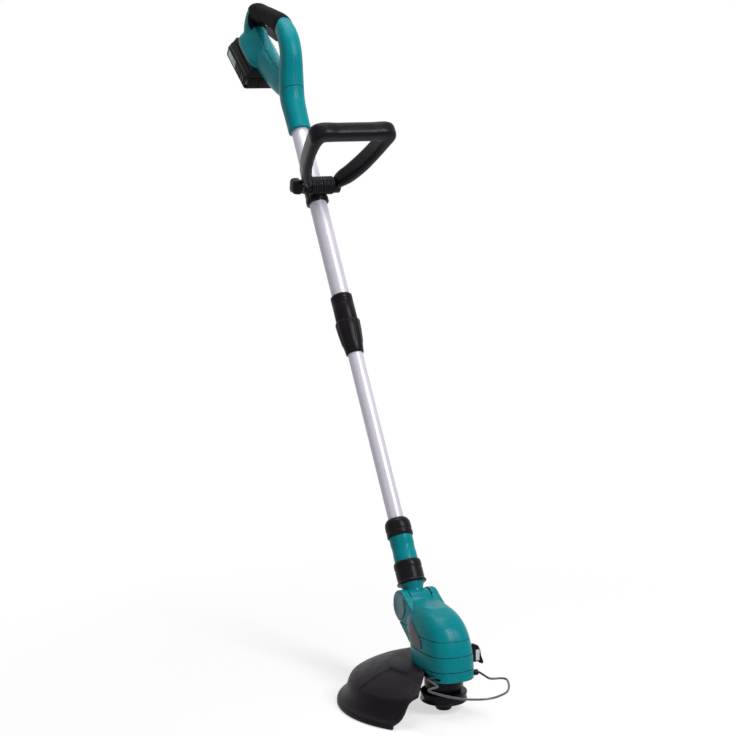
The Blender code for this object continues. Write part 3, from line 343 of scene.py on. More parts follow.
def lofted(name, rings, frame=WORLD, closed=False):
    """Skins rings that all have the same number of points."""
    count = len(rings[0])
    points = [tuple(point) for ring in rings for point in ring]
    faces = []
    for index in range(len(rings) if closed else len(rings) - 1):
        here, there = index * count, ((index + 1) % len(rings)) * count
        for step in range(count):
            after = (step + 1) % count
            faces.append((here + step, here + after, there + after, there + step))
    if not closed:
        faces += [tuple(range(count)), tuple(range(len(points) - count, len(points)))]
    return solid(name, points, faces, frame)


def prism(name, outline, low, high, frame=WORLD):
    """An outline of (x, z) points pushed from low to high along Y."""
    return lofted(name, [[(a, depth, b) for a, b in outline] for depth in (low, high)], frame)


def block(name, low, high, frame=WORLD):
    outline = [(low[0], low[2]), (high[0], low[2]), (high[0], high[2]), (low[0], high[2])]
    return prism(name, outline, low[1], high[1], frame)


def curve(p, q, r, s, t):
    """The Catmull-Rom value between q and r, with p and s beside them."""
    return 0.5 * (2 * q + (r - p) * t + (2 * p - 5 * q + 4 * r - s) * t * t
                  + (3 * q - p - 3 * r + s) * t ** 3)


def smooth_rows(rows, steps):
    """Catmull-Rom rows through the given rows of numbers."""
    last = len(rows) - 1
    made = []
    for index in range(last):
        a, b, c, d = (rows[min(max(index + shift, 0), last)] for shift in (-1, 0, 1, 2))
        made += [tuple(curve(*values, step / steps) for values in zip(a, b, c, d)) for step in range(steps)]
    return made + [tuple(rows[-1])]


def smooth_outline(points, steps):
    """A closed outline with its corners drawn as curves, held back towards the straight lines."""
    total = len(points)
    made = []
    for index in range(total):
        a, b, c, d = (points[(index + shift) % total] for shift in (-1, 0, 1, 2))
        for step in range(steps):
            t = step / steps
            made.append(tuple(curve(p, q, r, s, t) * CURVE_SHARE + (q + (r - q) * t) * (1 - CURVE_SHARE)
                              for p, q, r, s in zip(a, b, c, d)))
    return made


def outward(path, index):
    """The unit direction to the right of a path of (a, b, ...) rows at one of them."""
    back, ahead = path[max(index - 1, 0)], path[min(index + 1, len(path) - 1)]
    run = Vector((ahead[0] - back[0], ahead[1] - back[1])).normalized()
    return run.y, -run.x


def span(side, near, far):
    """The low and high end of a span that lies between two distances on one side."""
    return sorted((side * near, side * far))


def squared(value, power=SECTION_POWER):
    """A sine or cosine pushed outwards, which makes a circle squarer."""
    return copysign(abs(value) ** (2 / power), value)


def super_ring(half_a, half_b, count, power=SECTION_POWER):
    """Points of a superellipse around zero."""
    angles = [2 * pi * (step + 0.5) / count for step in range(count)]
    return [(half_a * squared(cos(angle), power), half_b * squared(sin(angle), power)) for angle in angles]


def level_ring(x, z, half_a, half_b, count, power=SECTION_POWER):
    return [(x + a, b, z) for a, b in super_ring(half_a, half_b, count, power)]


def polar(radius, angle, height, x=0):
    return x + radius * cos(angle), radius * sin(angle), height


def swept(name, rows):
    """Rounded sections along rows of (x, z, half depth, half width) in the shaft's plane Y = 0."""
    rings = []
    for index, (x, z, half_a, half_b) in enumerate(rows):
        side_x, side_z = outward(rows, index)
        side, centre = Vector((side_x, 0, side_z)), Vector((x, 0, z))
        rings.append([centre + side * a + Vector((0, b, 0)) for a, b in super_ring(half_a, half_b, 56)])
    return lofted(name, rings, SHAFT)


def half_split(item, name, side):
    """The part of a form on one side of the plane Y = 0."""
    piece = add_object(name, item.data.copy())
    low, high = span(side, GAP / 2, 0.4)
    return combine(piece, [block(name + "_half", (-2.0, low, -1.0), (2.0, high, 3.0))], "INTERSECT")


# Materials

MIX_FACTOR, MIX_FIRST, MIX_SECOND, MIX_RESULT = 0, 6, 7, 2
MOTTLE_SCALE = 26.0
GLOSS_SCALE = 70.0
WORN_EDGE = (0.53, 0.62)
GRAIN_DEPTH = 0.1 * MM


def fill(tree, node, inputs):
    """Sets a node's inputs to values, or links them to other nodes' outputs."""
    for key, value in inputs.items():
        if isinstance(value, bpy.types.NodeSocket):
            tree.links.new(value, node.inputs[key])
        else:
            node.inputs[key].default_value = value


def add_node(tree, kind, inputs=None, **settings):
    node = tree.nodes.new("ShaderNode" + kind)
    for key, value in settings.items():
        setattr(node, key, value)
    fill(tree, node, inputs or {})
    return node


def mixed(tree, first, second, factor):
    """A mix of two colours; the node's colour sockets go by number, as their names repeat."""
    return add_node(tree, "Mix", {MIX_FACTOR: factor, MIX_FIRST: first, MIX_SECOND: second},
                    data_type="RGBA").outputs[MIX_RESULT]


def noise(tree, coordinates, scale, detail, distortion=0.0):
    return add_node(tree, "TexNoise", {"Vector": coordinates, "Scale": scale, "Detail": detail,
                                       "Distortion": distortion}).outputs["Fac"]


def ranged(tree, value, low, high, to_low, to_high):
    return add_node(tree, "MapRange", dict(enumerate((value, low, high, to_low, to_high)))).outputs[0]


def finish(name, colour, roughness, grain, spread, wear, gloss=0.5, metallic=0.0, coat=0.0):
    """Moulded or painted finish: fine grain, uneven gloss, faint mottling and lighter worn edges.

    grain is the noise's scale and the bump's strength, spread the mottling's share of the colour,
    and wear the share of the paler colour on sharp edges.
    """
    made = bpy.data.materials.new(name)
    made.use_nodes = True
    tree = made.node_tree
    place = add_node(tree, "TexCoord").outputs["Object"]
    dark = (*[channel * (1 - spread) for channel in colour], 1.0)
    light = (*[min(channel * (1 + spread), 1.0) for channel in colour], 1.0)
    pale = (*[channel * 0.8 + 0.05 for channel in colour], 1.0)
    mottled = mixed(tree, dark, light, noise(tree, place, MOTTLE_SCALE, 5.0))
    edge = add_node(tree, "NewGeometry").outputs["Pointiness"]
    patchy = noise(tree, place, GLOSS_SCALE, 4.0, 0.4)
    bump = add_node(tree, "Bump", {"Strength": grain[1], "Distance": GRAIN_DEPTH,
                                   "Height": noise(tree, place, grain[0], 2.0)})
    fill(tree, tree.nodes["Principled BSDF"], {
        "Base Color": mixed(tree, mottled, pale, ranged(tree, edge, *WORN_EDGE, 0.0, wear)),
        "Roughness": ranged(tree, patchy, 0.3, 0.7, roughness - 0.05, roughness + 0.06),
        "Normal": bump.outputs["Normal"], "Metallic": metallic, "Coat Weight": coat,
        "Coat Roughness": 0.25, "Specular IOR Level": gloss})
    made.diffuse_color = (*colour, 1.0)


# Look: material, slot, colour, roughness, grain, mottling, wear, and what else differs
LOOKS = {
    "teal": ("moulded_teal", "teal", (0.0, 0.165, 0.190), 0.27, (1300.0, 0.08), 0.05, 0.12, 0.08),
    "black": ("moulded_black", "black_plastic", (0.0055, 0.004, 0.0065), 0.3, (1100.0, 0.2), 0.15, 0.1, 0.08),
    "guard": ("guard_black", "black_plastic", (0.0075, 0.0055, 0.0088), 0.4, (700.0, 0.3), 0.2, 0.12, 0.06),
    "rubber": ("soft_rubber", "black_rubber", (0.004, 0.003, 0.0045), 0.62, (520.0, 0.8), 0.2, 0.08, 0.03),
    "tube": ("painted_tube", "grey_tube", (0.47, 0.45, 0.52), 0.36, (1400.0, 0.015), 0.03, 0.0, 0.5, 0.25),
    "steel": ("zinc_steel", "steel", (0.32, 0.32, 0.34), 0.36, (1800.0, 0.15), 0.1, 0.1, 0.5, 1.0),
    "wire": ("coated_wire", "steel", (0.075, 0.07, 0.08), 0.33, (1500.0, 0.1), 0.1, 0.1, 0.5, 0.5),
    "slate": ("moulded_slate", "slate", (0.030, 0.105, 0.13), 0.42, (1200.0, 0.2), 0.08, 0.25, 0.35),
    "plate": ("bare_plate", "black_plastic", (0.016, 0.007, 0.014), 0.34, (2000.0, 0.05), 0.05, 0.1, 0.3),
    "patch": ("bare_patch", "slate", (0.16, 0.33, 0.27), 0.3, (2000.0, 0.05), 0.05, 0.05, 0.5, 0.0, 0.3),
    "line": ("cut_line", "", (0.5, 0.09, 0.03), 0.35, (900.0, 0.1), 0.05, 0.0),
}


def give_look(item, look):
    item.data.materials.clear()
    item.data.materials.append(bpy.data.materials[LOOKS[look][0]])


def settle(item, body, look, *nodes, angle=38.0):
    """Dresses a piece, hangs it on its body and hides the CAD nodes that it stands for."""
    give_look(item, look)
    item.data.shade_smooth()
    item.data.set_sharp_from_angle(angle=radians(angle))
    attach(item, body)
    if nodes:
        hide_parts(*nodes)


def soften_node(item, look):
    """Shows a CAD node with rounded shading, without changing its mesh."""
    give_look(item, look)
    if "custom_normal" in item.data.attributes:
        item.data.attributes.remove(item.data.attributes["custom_normal"])
    item.data.shade_smooth()
    weld = item.modifiers.new("Weld", "WELD")
    weld.merge_threshold = 0.01 * MM
    split = item.modifiers.new("Edges", "EDGE_SPLIT")
    split.split_angle = radians(32.0)
    split.use_edge_sharp = False


def turned_piece(node, body, look, profile, width, frame=WORLD, count=96):
    """A turned part that stands for one node."""
    settle(edged(turned(node + "_fine", profile, frame, count), width), body, look, node)


def shell_pair(form, stem, body, look, width, edge, angle):
    """The right and left half of a moulded form, each for its node."""
    for name, side in ((stem + "_right", -1), (stem + "_left", 1)):
        piece = half_split(form, name + "_fine", side)
        settle(edged(piece, width, 2, edge), body, look, name, angle=angle)
    bpy.data.objects.remove(form, do_unlink=True)


def cross_bore(radius, frame=SHAFT, count=40, place=(0, 0, 0)):
    """A round cutting tool that runs from side to side."""
    return turned("bore", disc(radius, -REACH, REACH), frame, count, "Y", place)


# Shaft, lock and neck

def shaft_pieces():
    turned_piece("upper_tube", "handle", "tube", tube(*UPPER_TUBE), 0.4 * MM, SHAFT, 120)
    turned_piece("lower_tube", "lower_shaft", "tube", tube(*LOWER_TUBE), 0.4 * MM, SHAFT, 120)


def ribbed(name, stations, bore, ribs, height, frame):
    """A turned sleeve with raised grip ribs, round in section, on its outside."""
    angles = [2 * pi * step / (ribs * 12) for step in range(ribs * 12)]
    rings = [[polar(r + height * fade * max(0.0, sin(ribs * angle)) ** 0.6, angle, s)
              for angle in angles] for s, r, fade in stations]
    rings += [[polar(bore, angle, stations[end][0]) for angle in angles] for end in (-1, 0)]
    return lofted(name, rings, frame, closed=True)


def lock_pieces():
    bore = UPPER_TUBE[1] + GAP
    foot = LOCK_STEP + GAP
    profile = [(bore, foot), (LOCK_BODY_R, foot)]
    for groove in (LOCK_TOP - 14 * MM, LOCK_TOP - 9 * MM):
        profile += rim(LOCK_BODY_R, groove, [(0, -1.6), (-0.7, -1.2), (-0.7, -0.4), (0, 0)])
    profile += rim(LOCK_BODY_R, LOCK_TOP, [(0, -2), (-2, 0)]) + [(bore, LOCK_TOP)]
    turned_piece("lock_body", "handle", "black", profile, 0.35 * MM, SHAFT)
    rows = [(LOCK_STEP, LOCK_BODY_R, 0)]
    rows += [(LOCK_STEP - down * MM, LOCK_NUT_R - thin * MM, rib)
             for down, thin, rib in ((1.2, 0.4, 0.3), (3, 0, 1), (20, 1, 1))]
    rows += [(LOCK_FOOT + up * MM, LOCK_NUT_FOOT_R + out * MM, rib)
             for up, out, rib in ((20, 2.6, 1), (16, 2, 0), (10, 1, 0), (1, 0, 0), (0, -0.8, 0))]
    nut = ribbed("lock_nut_fine", rows, LOWER_TUBE[1] + GAP, LOCK_RIBS, 0.7 * MM, SHAFT)
    settle(nut, "lock_ring", "black", "lock_nut", angle=50.0)


def neck_pieces():
    bore, room = LOWER_TUBE[1] + GAP, SLEEVE_R + GAP
    turned_piece("tube_cap", "lower_shaft", "black", [
        (room, CAP_FOOT),
        *rim(CAP_R, CAP_FOOT, [(-1, 0), (0, 1.5), (0, 8), (-0.7, 8.8), (-0.7, 10.4), (0, 11.2)]),
        *rim(CAP_R, CAP_TOP, [(0, -12), (-0.5, -7), (-2, -3.5), (-5, 0)]),
        (bore, CAP_TOP), (bore, CAP_TOP - CAP_STEP), (room, CAP_TOP - CAP_ROOM)], 0.4 * MM, SHAFT)
    top = CAP_TOP - CAP_ROOM - GAP
    turned_piece("neck_sleeve", "lower_shaft", "teal", [
        (SLEEVE_BORE, SLEEVE_FOOT), (SPRING_SEAT_R, SLEEVE_FOOT), (SPRING_SEAT_R, SPRING_STOP),
        (SLEEVE_R, SPRING_STOP), *rim(SLEEVE_R, 0, [(0, 84), (-0.5, 85), (-0.5, 96), (0, 97)]),
        (SLEEVE_R, top), (bore, top), (bore, LOWER_TUBE[2]), (SLEEVE_BORE, LOWER_TUBE[2] - GAP)],
        0.3 * MM, SHAFT)
    wall, lip = SLEEVE_R + GAP, NECK_R + GAP
    turned_piece("rotation_collar", "collar", "black", [
        (lip, COLLAR_FOOT), *rim(COLLAR_FLANGE_R, COLLAR_FOOT, [(-0.6, 0), (0, 0.8), (0, 2.2)]),
        (COLLAR_R, COLLAR_FOOT + COLLAR_FLANGE),
        *rim(COLLAR_R, COLLAR_FOOT, [(0.2, 22), (-0.5, 22.6), (-0.5, 24.4), (0.3, 25)]),
        *rim(COLLAR_R, COLLAR_TOP, [(0.4, -3), (-0.8, 0)]), (wall, COLLAR_TOP),
        (wall, COLLAR_FOOT + COLLAR_SEAT), (lip, COLLAR_FOOT + COLLAR_SEAT)], 0.4 * MM, SHAFT)


def yoke_piece():
    waist, top = SLEEVE_FOOT - GAP, 71.7 * MM
    yoke = turned("neck_yoke_fine", [
        (0, 8 * MM), (NECK_R - 3 * MM, 8 * MM), (NECK_R - 2 * MM, HUB_R + 2 * MM),
        (NECK_R, HUB_R + 6 * MM), (NECK_R, waist), (SPIGOT_R, waist), (SPIGOT_R, top), (0, top)], SHAFT)
    combine(yoke, [turned("hub", disc(HUB_R, -HUB_HALF, HUB_HALF), SHAFT, axis="Y")], "UNION")
    combine(yoke, [cross_bore(TILT_PIN_R + GAP, count=48)])
    settle(edged(yoke, 0.8 * MM, 3), "neck", "teal", "neck_yoke")


# Motor head

def housing_rings(inset=0, steps=4):
    """Level sections of the motor housing, from its foot to its crown."""
    front, half = HOUSING_FRONT / MM, HOUSING_HALF / MM
    rows = [(56, -52, front, half), (66, -58, front, half), (82, -63, front - 1.5, half),
            (98, -68, front - 4, half - 0.5), (112, -75, front - 9, half - 1.5),
            (126, -83, front - 16, half - 3.5), (138, -86, front - 26, half - 7),
            (148, -86, front - 42, half - 12), (155, -84, front - 66, half - 19)]
    rings = []
    for z, rear, ahead, wide in smooth_rows(rows, steps):
        z, rear, ahead, wide = z * MM, rear * MM + inset, ahead * MM - inset, wide * MM - inset
        rings.append(level_ring((rear + ahead) / 2, z, (ahead - rear) / 2, wide, 120, HOUSING_POWER))
    return rings


def groove_tool(height):
    """A ring that cuts a step line around the housing's front and sides."""
    level = min(housing_rings(), key=lambda ring: abs(ring[0][2] - height))
    front, half = (max(point[axis] for point in level) for axis in (0, 1))
    rings = []
    outer, inner = (20 * MM, -110 * MM), (-GROOVE_DEPTH, -84 * MM)
    for lift, (out, back) in ((-1, outer), (1, outer), (0.5, inner), (-0.5, inner)):
        ahead, z = front + out, height + lift * GROOVE_WIDTH / 2
        rings.append(level_ring((back + ahead) / 2, z, (ahead - back) / 2, half + out, 120, HOUSING_POWER))
    return lofted("groove", rings, closed=True)


def guard_outside(extra=0):
    """The guard's outside in section, from its middle to its rim."""
    rows = ((0, 70), (60, 68), (80, 62), (100, 55), (120, 45), (129, 37), (135, 20), (140, 12),
            (146, 8), (GUARD_REACH, 3), (GUARD_REACH, 0))
    return [(a * MM, b * MM + GUARD_LIFT + extra) for a, b in rows]


def roof_tool():
    """The space under and in the guard's roof, for cutting the housing's foot."""
    rows = [(max(r, 1 * MM), z) for r, z in guard_outside(GAP)[:7]]
    low = rows[-1][1] - REACH
    profile = rows + [(rows[-1][0], low), (rows[0][0], low)]
    rings = []
    for step in range(-2, 61):
        angle = GUARD_START + (GUARD_END - GUARD_START) * step / 58
        rings.append([polar(r, angle, z, GUARD_X) for r, z in profile])
    return lofted("roof_tool", rings)


def neck_slot_tools():
    """The room that the yoke's hub and neck sweep between the housing's ears."""
    hub = turned("hub_room", disc(HUB_R + 0.9 * MM, -HUB_HALF - GAP, HUB_HALF + GAP), axis="Y", place=PIVOT)
    room = NECK_R + 1.2 * MM
    outline = []
    for lean, side in ((TILT_UPRIGHT, 1), (TILT_FLAT, -1)):
        up = Vector((-sin(lean), cos(lean)))
        edge = Vector((cos(lean), sin(lean))) * room * side
        outline += [edge, edge + up * 90 * MM][::side]
    path = prism("neck_room", [(PIVOT.x + x, PIVOT.z + z) for x, z in outline], -room, room)
    return [hub, path]


def housing_form():
    form = lofted("housing_form", housing_rings())
    for side in (-1, 1):
        low, high = span(side, HUB_HALF + GAP, EAR_HALF)
        ear = turned("ear", disc(EAR_R, low, high), axis="Y", place=PIVOT)
        outline = [(PIVOT.x - 6 * MM, PIVOT.z - EAR_R + 0.6 * MM), (-40 * MM, 80 * MM),
                   (-20 * MM, 130 * MM), (PIVOT.x + 8 * MM, PIVOT.z + EAR_R - 2 * MM)]
        combine(form, [ear, prism("heel", outline, low, high)], "UNION")
    melted(form, 1.3 * MM, 5)
    tools = neck_slot_tools() + [groove_tool(height) for height in GROOVE_HEIGHTS] + [roof_tool()]
    return combine(form, tools)


def housing_pieces():
    form = housing_form()
    base = turned("base_room", [(0, 0), *rim(BASE_FLANGE_R, 0, [(3, 0), (3, 60.4)]),
                                *rim(BASE_FLANGE_R + GAP, 0, [(0, 60.4), (0, 64)]), (0, 64 * MM)])
    button = turned("button_room", disc(TILT_BUTTON_R + GAP, -REACH, -EAR_HALF + 8 * MM), axis="Y",
                    place=PIVOT)
    drain = turned("drain", disc(1, -REACH, 0), axis="Y", count=40)
    drain.data.transform(Matrix.Diagonal((5.5 * MM, 1.0, 2.2 * MM, 1.0)))
    drain.data.transform(Matrix.Translation((0, 0, 61.5 * MM)) @ Matrix.Rotation(radians(52), 4, "Z"))
    seats = [turned("socket_seat", disc(SOCKET_R + GAP, *span(side, HOUSING_HALF - SOCKET_SEAT, REACH)),
                    axis="Y", count=64, place=(WIRE_X, 0, WIRE_Z)) for side in (-1, 1)]
    combine(form, [base, button, drain] + seats)
    shell_pair(form, "housing", "head", "teal", 0.35 * MM, 50, 45.0)


def tilt_button_piece():
    face = -EAR_HALF - TILT_BUTTON_PROUD
    button = turned("tilt_button_fine", [
        (0, face + 0.5 * MM),
        *rim(TILT_BUTTON_R, face, [(-6, 0.5), (-5, 0), (-1.6, 0), (-0.5, 0.4), (0, 1.4), (0, 5)]),
        (0, face + 5 * MM)], axis="Y", place=PIVOT)
    settle(button, "tilt_release", "slate", "tilt_button")


def side_plate_piece():
    """The bare dark plate that lies on the housing's right side."""
    outline = [(-46, 134), (-4, 112), (0, 100), (-36, 98), (-58, 118)]
    plate = prism("side_plate_fine", [mm(*point) for point in outline], -REACH, -10 * MM)
    combine(plate, [lofted("plate_outside", housing_rings(-1.2 * MM))], "INTERSECT")
    combine(plate, [lofted("plate_inside", housing_rings(-GAP))])
    settle(edged(plate, 0.3 * MM), "head", "plate", "side_plate")


def ramp(value, low, high):
    """Rises from 0 at low to 1 at high, and stays there on both sides."""
    return min(max((value - low) / (high - low), 0.0), 1.0)


def between(value, start, end):
    """1 between two ramps, and 0 outside them."""
    return ramp(value, *start) * (1.0 - ramp(value, *end))


def guard_surface(angle, r, z):
    """The outside with its sunk front panel, the slot behind it and the lip on the front edge."""
    turn = degrees(angle)
    panel = between(turn, PANEL_START, PANEL_END) * between(r, PANEL_INNER, PANEL_OUTER)
    slot = between(turn, SLOT_START, SLOT_END) * between(r, SLOT_INNER, SLOT_OUTER)
    lip = max(ramp(turn, *LIP_SIDE), ramp(GUARD_X + r * cos(angle), *LIP_AHEAD))
    lip *= 1.0 - ramp(r, *LIP_OUTER)
    return z - PANEL_SINK * panel - SLOT_SINK * slot + LIP_RISE * lip


def guard_piece():
    outside = smooth_rows([(max(r, 6 * MM), z) for r, z in guard_outside()[:-2]], 10)
    outside += [mm(148.2, 6.5), mm(GUARD_REACH, 4), (GUARD_REACH * MM, GUARD_LIFT)]
    inside = []
    for index, (r, z) in enumerate(outside):
        in_r, in_z = outward(outside, index)
        inside.append((r + in_r * GUARD_WALL, z + in_z * GUARD_WALL))
    inside[0] = (outside[0][0], inside[0][1])
    inside[-1] = (outside[-1][0] - GUARD_WALL, outside[-1][1])
    rings = []
    for step in range(GUARD_STEPS + 1):
        angle = GUARD_START + (GUARD_END - GUARD_START) * step / GUARD_STEPS
        ring = [(r, guard_surface(angle, r, z)) for r, z in outside] + inside[::-1]
        rings.append([polar(r, angle, z, GUARD_X) for r, z in ring])
    guard = lofted("guard_fine", rings)
    outline = [(x, y) for x, y, _ in housing_rings(3.3 * MM, 1)[0]]
    plate = [[(x, y, level) for x, y in outline] for level in (PLATE_FOOT, PLATE_TOP)]
    combine(guard, [lofted("plate_form", plate),
                    block("wall_form", mm(-40, -11, PLATE_FOOT / MM), mm(-35, 11, 69))], "UNION")
    combine(guard, [block("guard_front", (GUARD_FRONT, -0.2, -20 * MM), (0.2, -0.04, 100 * MM))])
    seat, wide, top = PLATE_TOP + GAP / 2, BASE_FLANGE_R + GAP, 90 * MM
    combine(guard, [turned("guard_room", [(0, 0), (BASE_R + GAP, 0), (BASE_R + GAP, seat), (wide, seat),
                                          (wide, top), (0, top)])])
    settle(edged(guard, 0.5 * MM, 2, 50), "head", "guard", "guard", angle=45.0)


def spool_pieces():
    flange = PLATE_TOP + GAP
    turned_piece("motor_base", "head", "black", [
        (BASE_BORE, BASE_FOOT), *rim(BASE_R, BASE_FOOT, [(-5, 0), (-3, 1), (0, 8)]), (BASE_R, flange),
        *rim(BASE_FLANGE_R, flange, [(0, 0), (0, 3)]), (BASE_BORE, flange + 3 * MM)], 0.4 * MM)
    drum = turned("spool_housing_fine", [
        (SPOOL_BORE, SPOOL_ROOF), (SPOOL_ROOM, SPOOL_ROOF), (SPOOL_ROOM, SPOOL_FOOT),
        *rim(SPOOL_R, SPOOL_FOOT, [(-1, 0), (0, 1)]),
        *rim(SPOOL_R, 0, [(0, 18.4), (-0.7, 18.9), (-0.7, 28), (0, 28.5)]),
        *rim(SPOOL_R, SPOOL_TOP, [(0, -1.2), (-1.2, 0)]), (SPOOL_BORE, SPOOL_TOP)])
    height = (SPOOL_FOOT + SPOOL_TOP) / 2 + 0.6 * MM
    combine(drum, [cross_bore(EYELET_R + GAP, WORLD, place=(0, 0, height))])
    settle(edged(drum, 0.35 * MM), "spool", "black", "spool_housing")
    turned_piece("bump_knob", "bump", "black", [
        (0, 0), *rim(KNOB_HEAD_R, 0, [(-2.5, 0), (-1, 0.4), (0, 1.4)]),
        *rim(KNOB_R, 0, [(-0.6, 5), (0, 6.4), (0, 12.6)]),
        *rim(0, 0, [(9, 12.6), (9, 4.6), (5.5, 4.6), (5.5, 12.6), (4, 12.6), (4, 18.6), (0, 18.6)])],
        0.3 * MM)


def wire_rest_piece():
    """The hooked rest beside the left end of the wire, with its pale front plate."""
    outline = [(36, 99), (41, 103), (47, 101), (50.5, 94), (52, 85), (56.5, 74), (54.5, 71), (49.5, 73),
               (48, 77), (42, 75), (36, 77)]
    rings = [[mm(x, y, z) for y, z in outline] for x in (13, 24)]
    settle(edged(lofted("wire_rest", rings), 1.0 * MM, 3, 20), "head", "black")
    plate = block("wire_rest_plate", mm(24, 42, 78), mm(24.8, 48.5, 95))
    settle(edged(plate, 0.35 * MM), "head", "tube")


def wire_piece():
    """The wire guard, bent from one rod with its ends in the two sockets."""
    half = WIRE_HALF / MM
    right = [(0, -half + 5.5), (0, -half + 3), (0.6, -half + 1), (3, -half), (20, -half), (33, -half),
             (38, -half - 4), (41, -half - 16), (46, -half - 21), (56, -half - 20), (80, -half - 9),
             (100, -38), (WIRE_REACH / MM - 5, -22), (WIRE_REACH / MM, -8)]
    route = smooth_rows([mm(x, y) for x, y in right + [(x, -y) for x, y in right[::-1]]], 5)
    rings = []
    for index, (x, y) in enumerate(route):
        side = Vector((*outward(route, index), 0))
        centre = Vector((WIRE_X + x, y, WIRE_Z))
        rings.append([centre + side * WIRE_R * cos(k * pi / 8) + Vector((0, 0, WIRE_R * sin(k * pi / 8)))
                      for k in range(16)])
    settle(lofted("flower_guard_fine", rings), "wire_guard", "wire", "flower_guard", angle=60.0)


# Rear handle and battery

# Rows of (x, z, half depth, half width) in millimetres, in the shaft's frame
ARCH = [(0, HANDLE_FOOT / MM, 19.3, 19.3), (0, 890, 19.8, 19.8), (2, 921, 21, 21),
        (18, 955, 21, 21), (39, 988, 19.2, 18.8), (43, 1020, 18, 18), (31, 1052, 16.5, 15.5),
        (5, 1082, 14.5, 13.8), (-25, 1110, 14.5, 13.8), (-56, 1134, 16.5, 15.5),
        (-76, 1121, 19.5, 19), (-86, 1094, 21, 21), (-80, 1072, 19, 20)]
BRIDGE = [(-84, 1082, 19, 19.5), (-67, 1048, 21.5, 20.5), (-47, 1008, 21.5, 20),
          (-18, 963, 21, 19.5), (1, 938, 17.5, 17.5)]


def handle_rows(rows, steps):
    return smooth_rows([mm(*row) for row in rows], steps)


def dock_line(along, out):
    direction = Vector((sin(BATTERY_SLANT), -cos(BATTERY_SLANT)))
    away = Vector((-cos(BATTERY_SLANT), -sin(BATTERY_SLANT)))
    return Vector((DOCK_X, DOCK_Z)) + direction * along + away * out


def dock_form():
    rows = smooth_rows([(21, 27, 21), (29, 38, 28), (50, 40, 31), (88, 36, 31), (104, 30, 28),
                        (112, 20, 24)], 4)
    rings = []
    for along, depth, near in rows:
        depth, near, far = depth * MM, near * MM, DOCK_RIDGE
        outline = [(0.0, -near), (0.0, near), (10 * MM, near), (depth, far), (depth, -far),
                   (10 * MM, -near)]
        points = [(dock_line(along * MM, -out), side) for out, side in outline]
        rings.append([(point.x, side, point.y) for point, side in points])
    return edged(lofted("dock_form", rings, SHAFT), 3 * MM, 3)


def trigger_outline(grow=0):
    rows = [(16, 1052), (-16, 1083), (-24, 1078), (-22, 1066), (-6, 1047), (6, 1034), (14, 1036)]
    middle = Vector(mm(-4, 1057))
    points = [Vector(mm(x, z)) for x, z in rows]
    return [tuple(point + (point - middle).normalized() * grow) for point in points]


def turned_outline(points, share):
    """The trigger's outline after a share of its full turn about its pivot."""
    angle = TRIGGER_TURN * share
    ca, sa = cos(angle), sin(angle)
    middle = Vector(TRIGGER_PIVOT)
    arms = [Vector(point) - middle for point in points]
    return [(middle.x + arm.x * ca - arm.y * sa, middle.y + arm.x * sa + arm.y * ca) for arm in arms]


def sleeve_groove():
    """A shallow step line around the front arm, where its plain sleeve begins."""
    x, _, half_a, half_b = min(handle_rows(ARCH[:6], 16), key=lambda row: abs(row[1] - SLEEVE_LINE))
    rings = [level_ring(x, SLEEVE_LINE + lift * 1.2 * MM, half_a + grow * MM, half_b + grow * MM, 96)
             for lift, grow in ((-1, 12), (1, 12), (0.3, -1), (-0.3, -1))]
    return lofted("sleeve_groove", rings, SHAFT, closed=True)


def handle_pieces():
    form = swept("handle_form", handle_rows(ARCH, 8))
    combine(form, [swept("bridge_form", handle_rows(BRIDGE, 8))], "UNION")
    combine(form, [dock_form()], "UNION")
    melted(form, 1.5 * MM, 8)
    face = [dock_line(*mm(along, out)) for along, out in ((-60, 0), (200, 0), (200, 90), (-60, 90))]
    tools = [prism("dock_face", face, -90 * MM, 90 * MM, SHAFT),
             turned("tube_room", disc(UPPER_TUBE[1] + GAP, HANDLE_FOOT - 5 * MM, UPPER_TUBE[3] + GAP), SHAFT),
             turned("foot_trim", disc(REACH, HANDLE_FOOT - 20 * MM, HANDLE_FOOT + 0.4 * MM), SHAFT),
             sleeve_groove()]
    room = smooth_outline(trigger_outline(TRIGGER_ROOM), 4)
    tools += [prism("trigger_room", turned_outline(room, step / TRIGGER_STEPS), -TRIGGER_HALF - GAP,
                    TRIGGER_HALF + GAP, SHAFT) for step in range(TRIGGER_STEPS + 1)]
    combine(form, tools)
    combine(form, [turned("lock_off_room", disc(LOCK_OFF_R + GAP, 8 * MM, REACH), SHAFT, axis="Y",
                          place=LOCK_OFF)])
    shell_pair(form, "handle_shell", "handle", "teal", 0.4 * MM, 55, 48.0)


def along_rows(rows, place):
    """A row between two others, and the outward side there."""
    index = min(int(place), len(rows) - 3)
    part = place - index
    row = [a + (b - a) * part for a, b in zip(rows[index], rows[index + 1])]
    side = Vector(outward(rows, index)).lerp(Vector(outward(rows, index + 1)), part).normalized()
    return row, Vector((side.x, 0, side.y))


def eased(value, start):
    """Rises quickly from start, and levels out to 1 where the value reaches 1."""
    return min(1.0, start + (1.0 - start) * min(value, 1.0) ** 0.5)


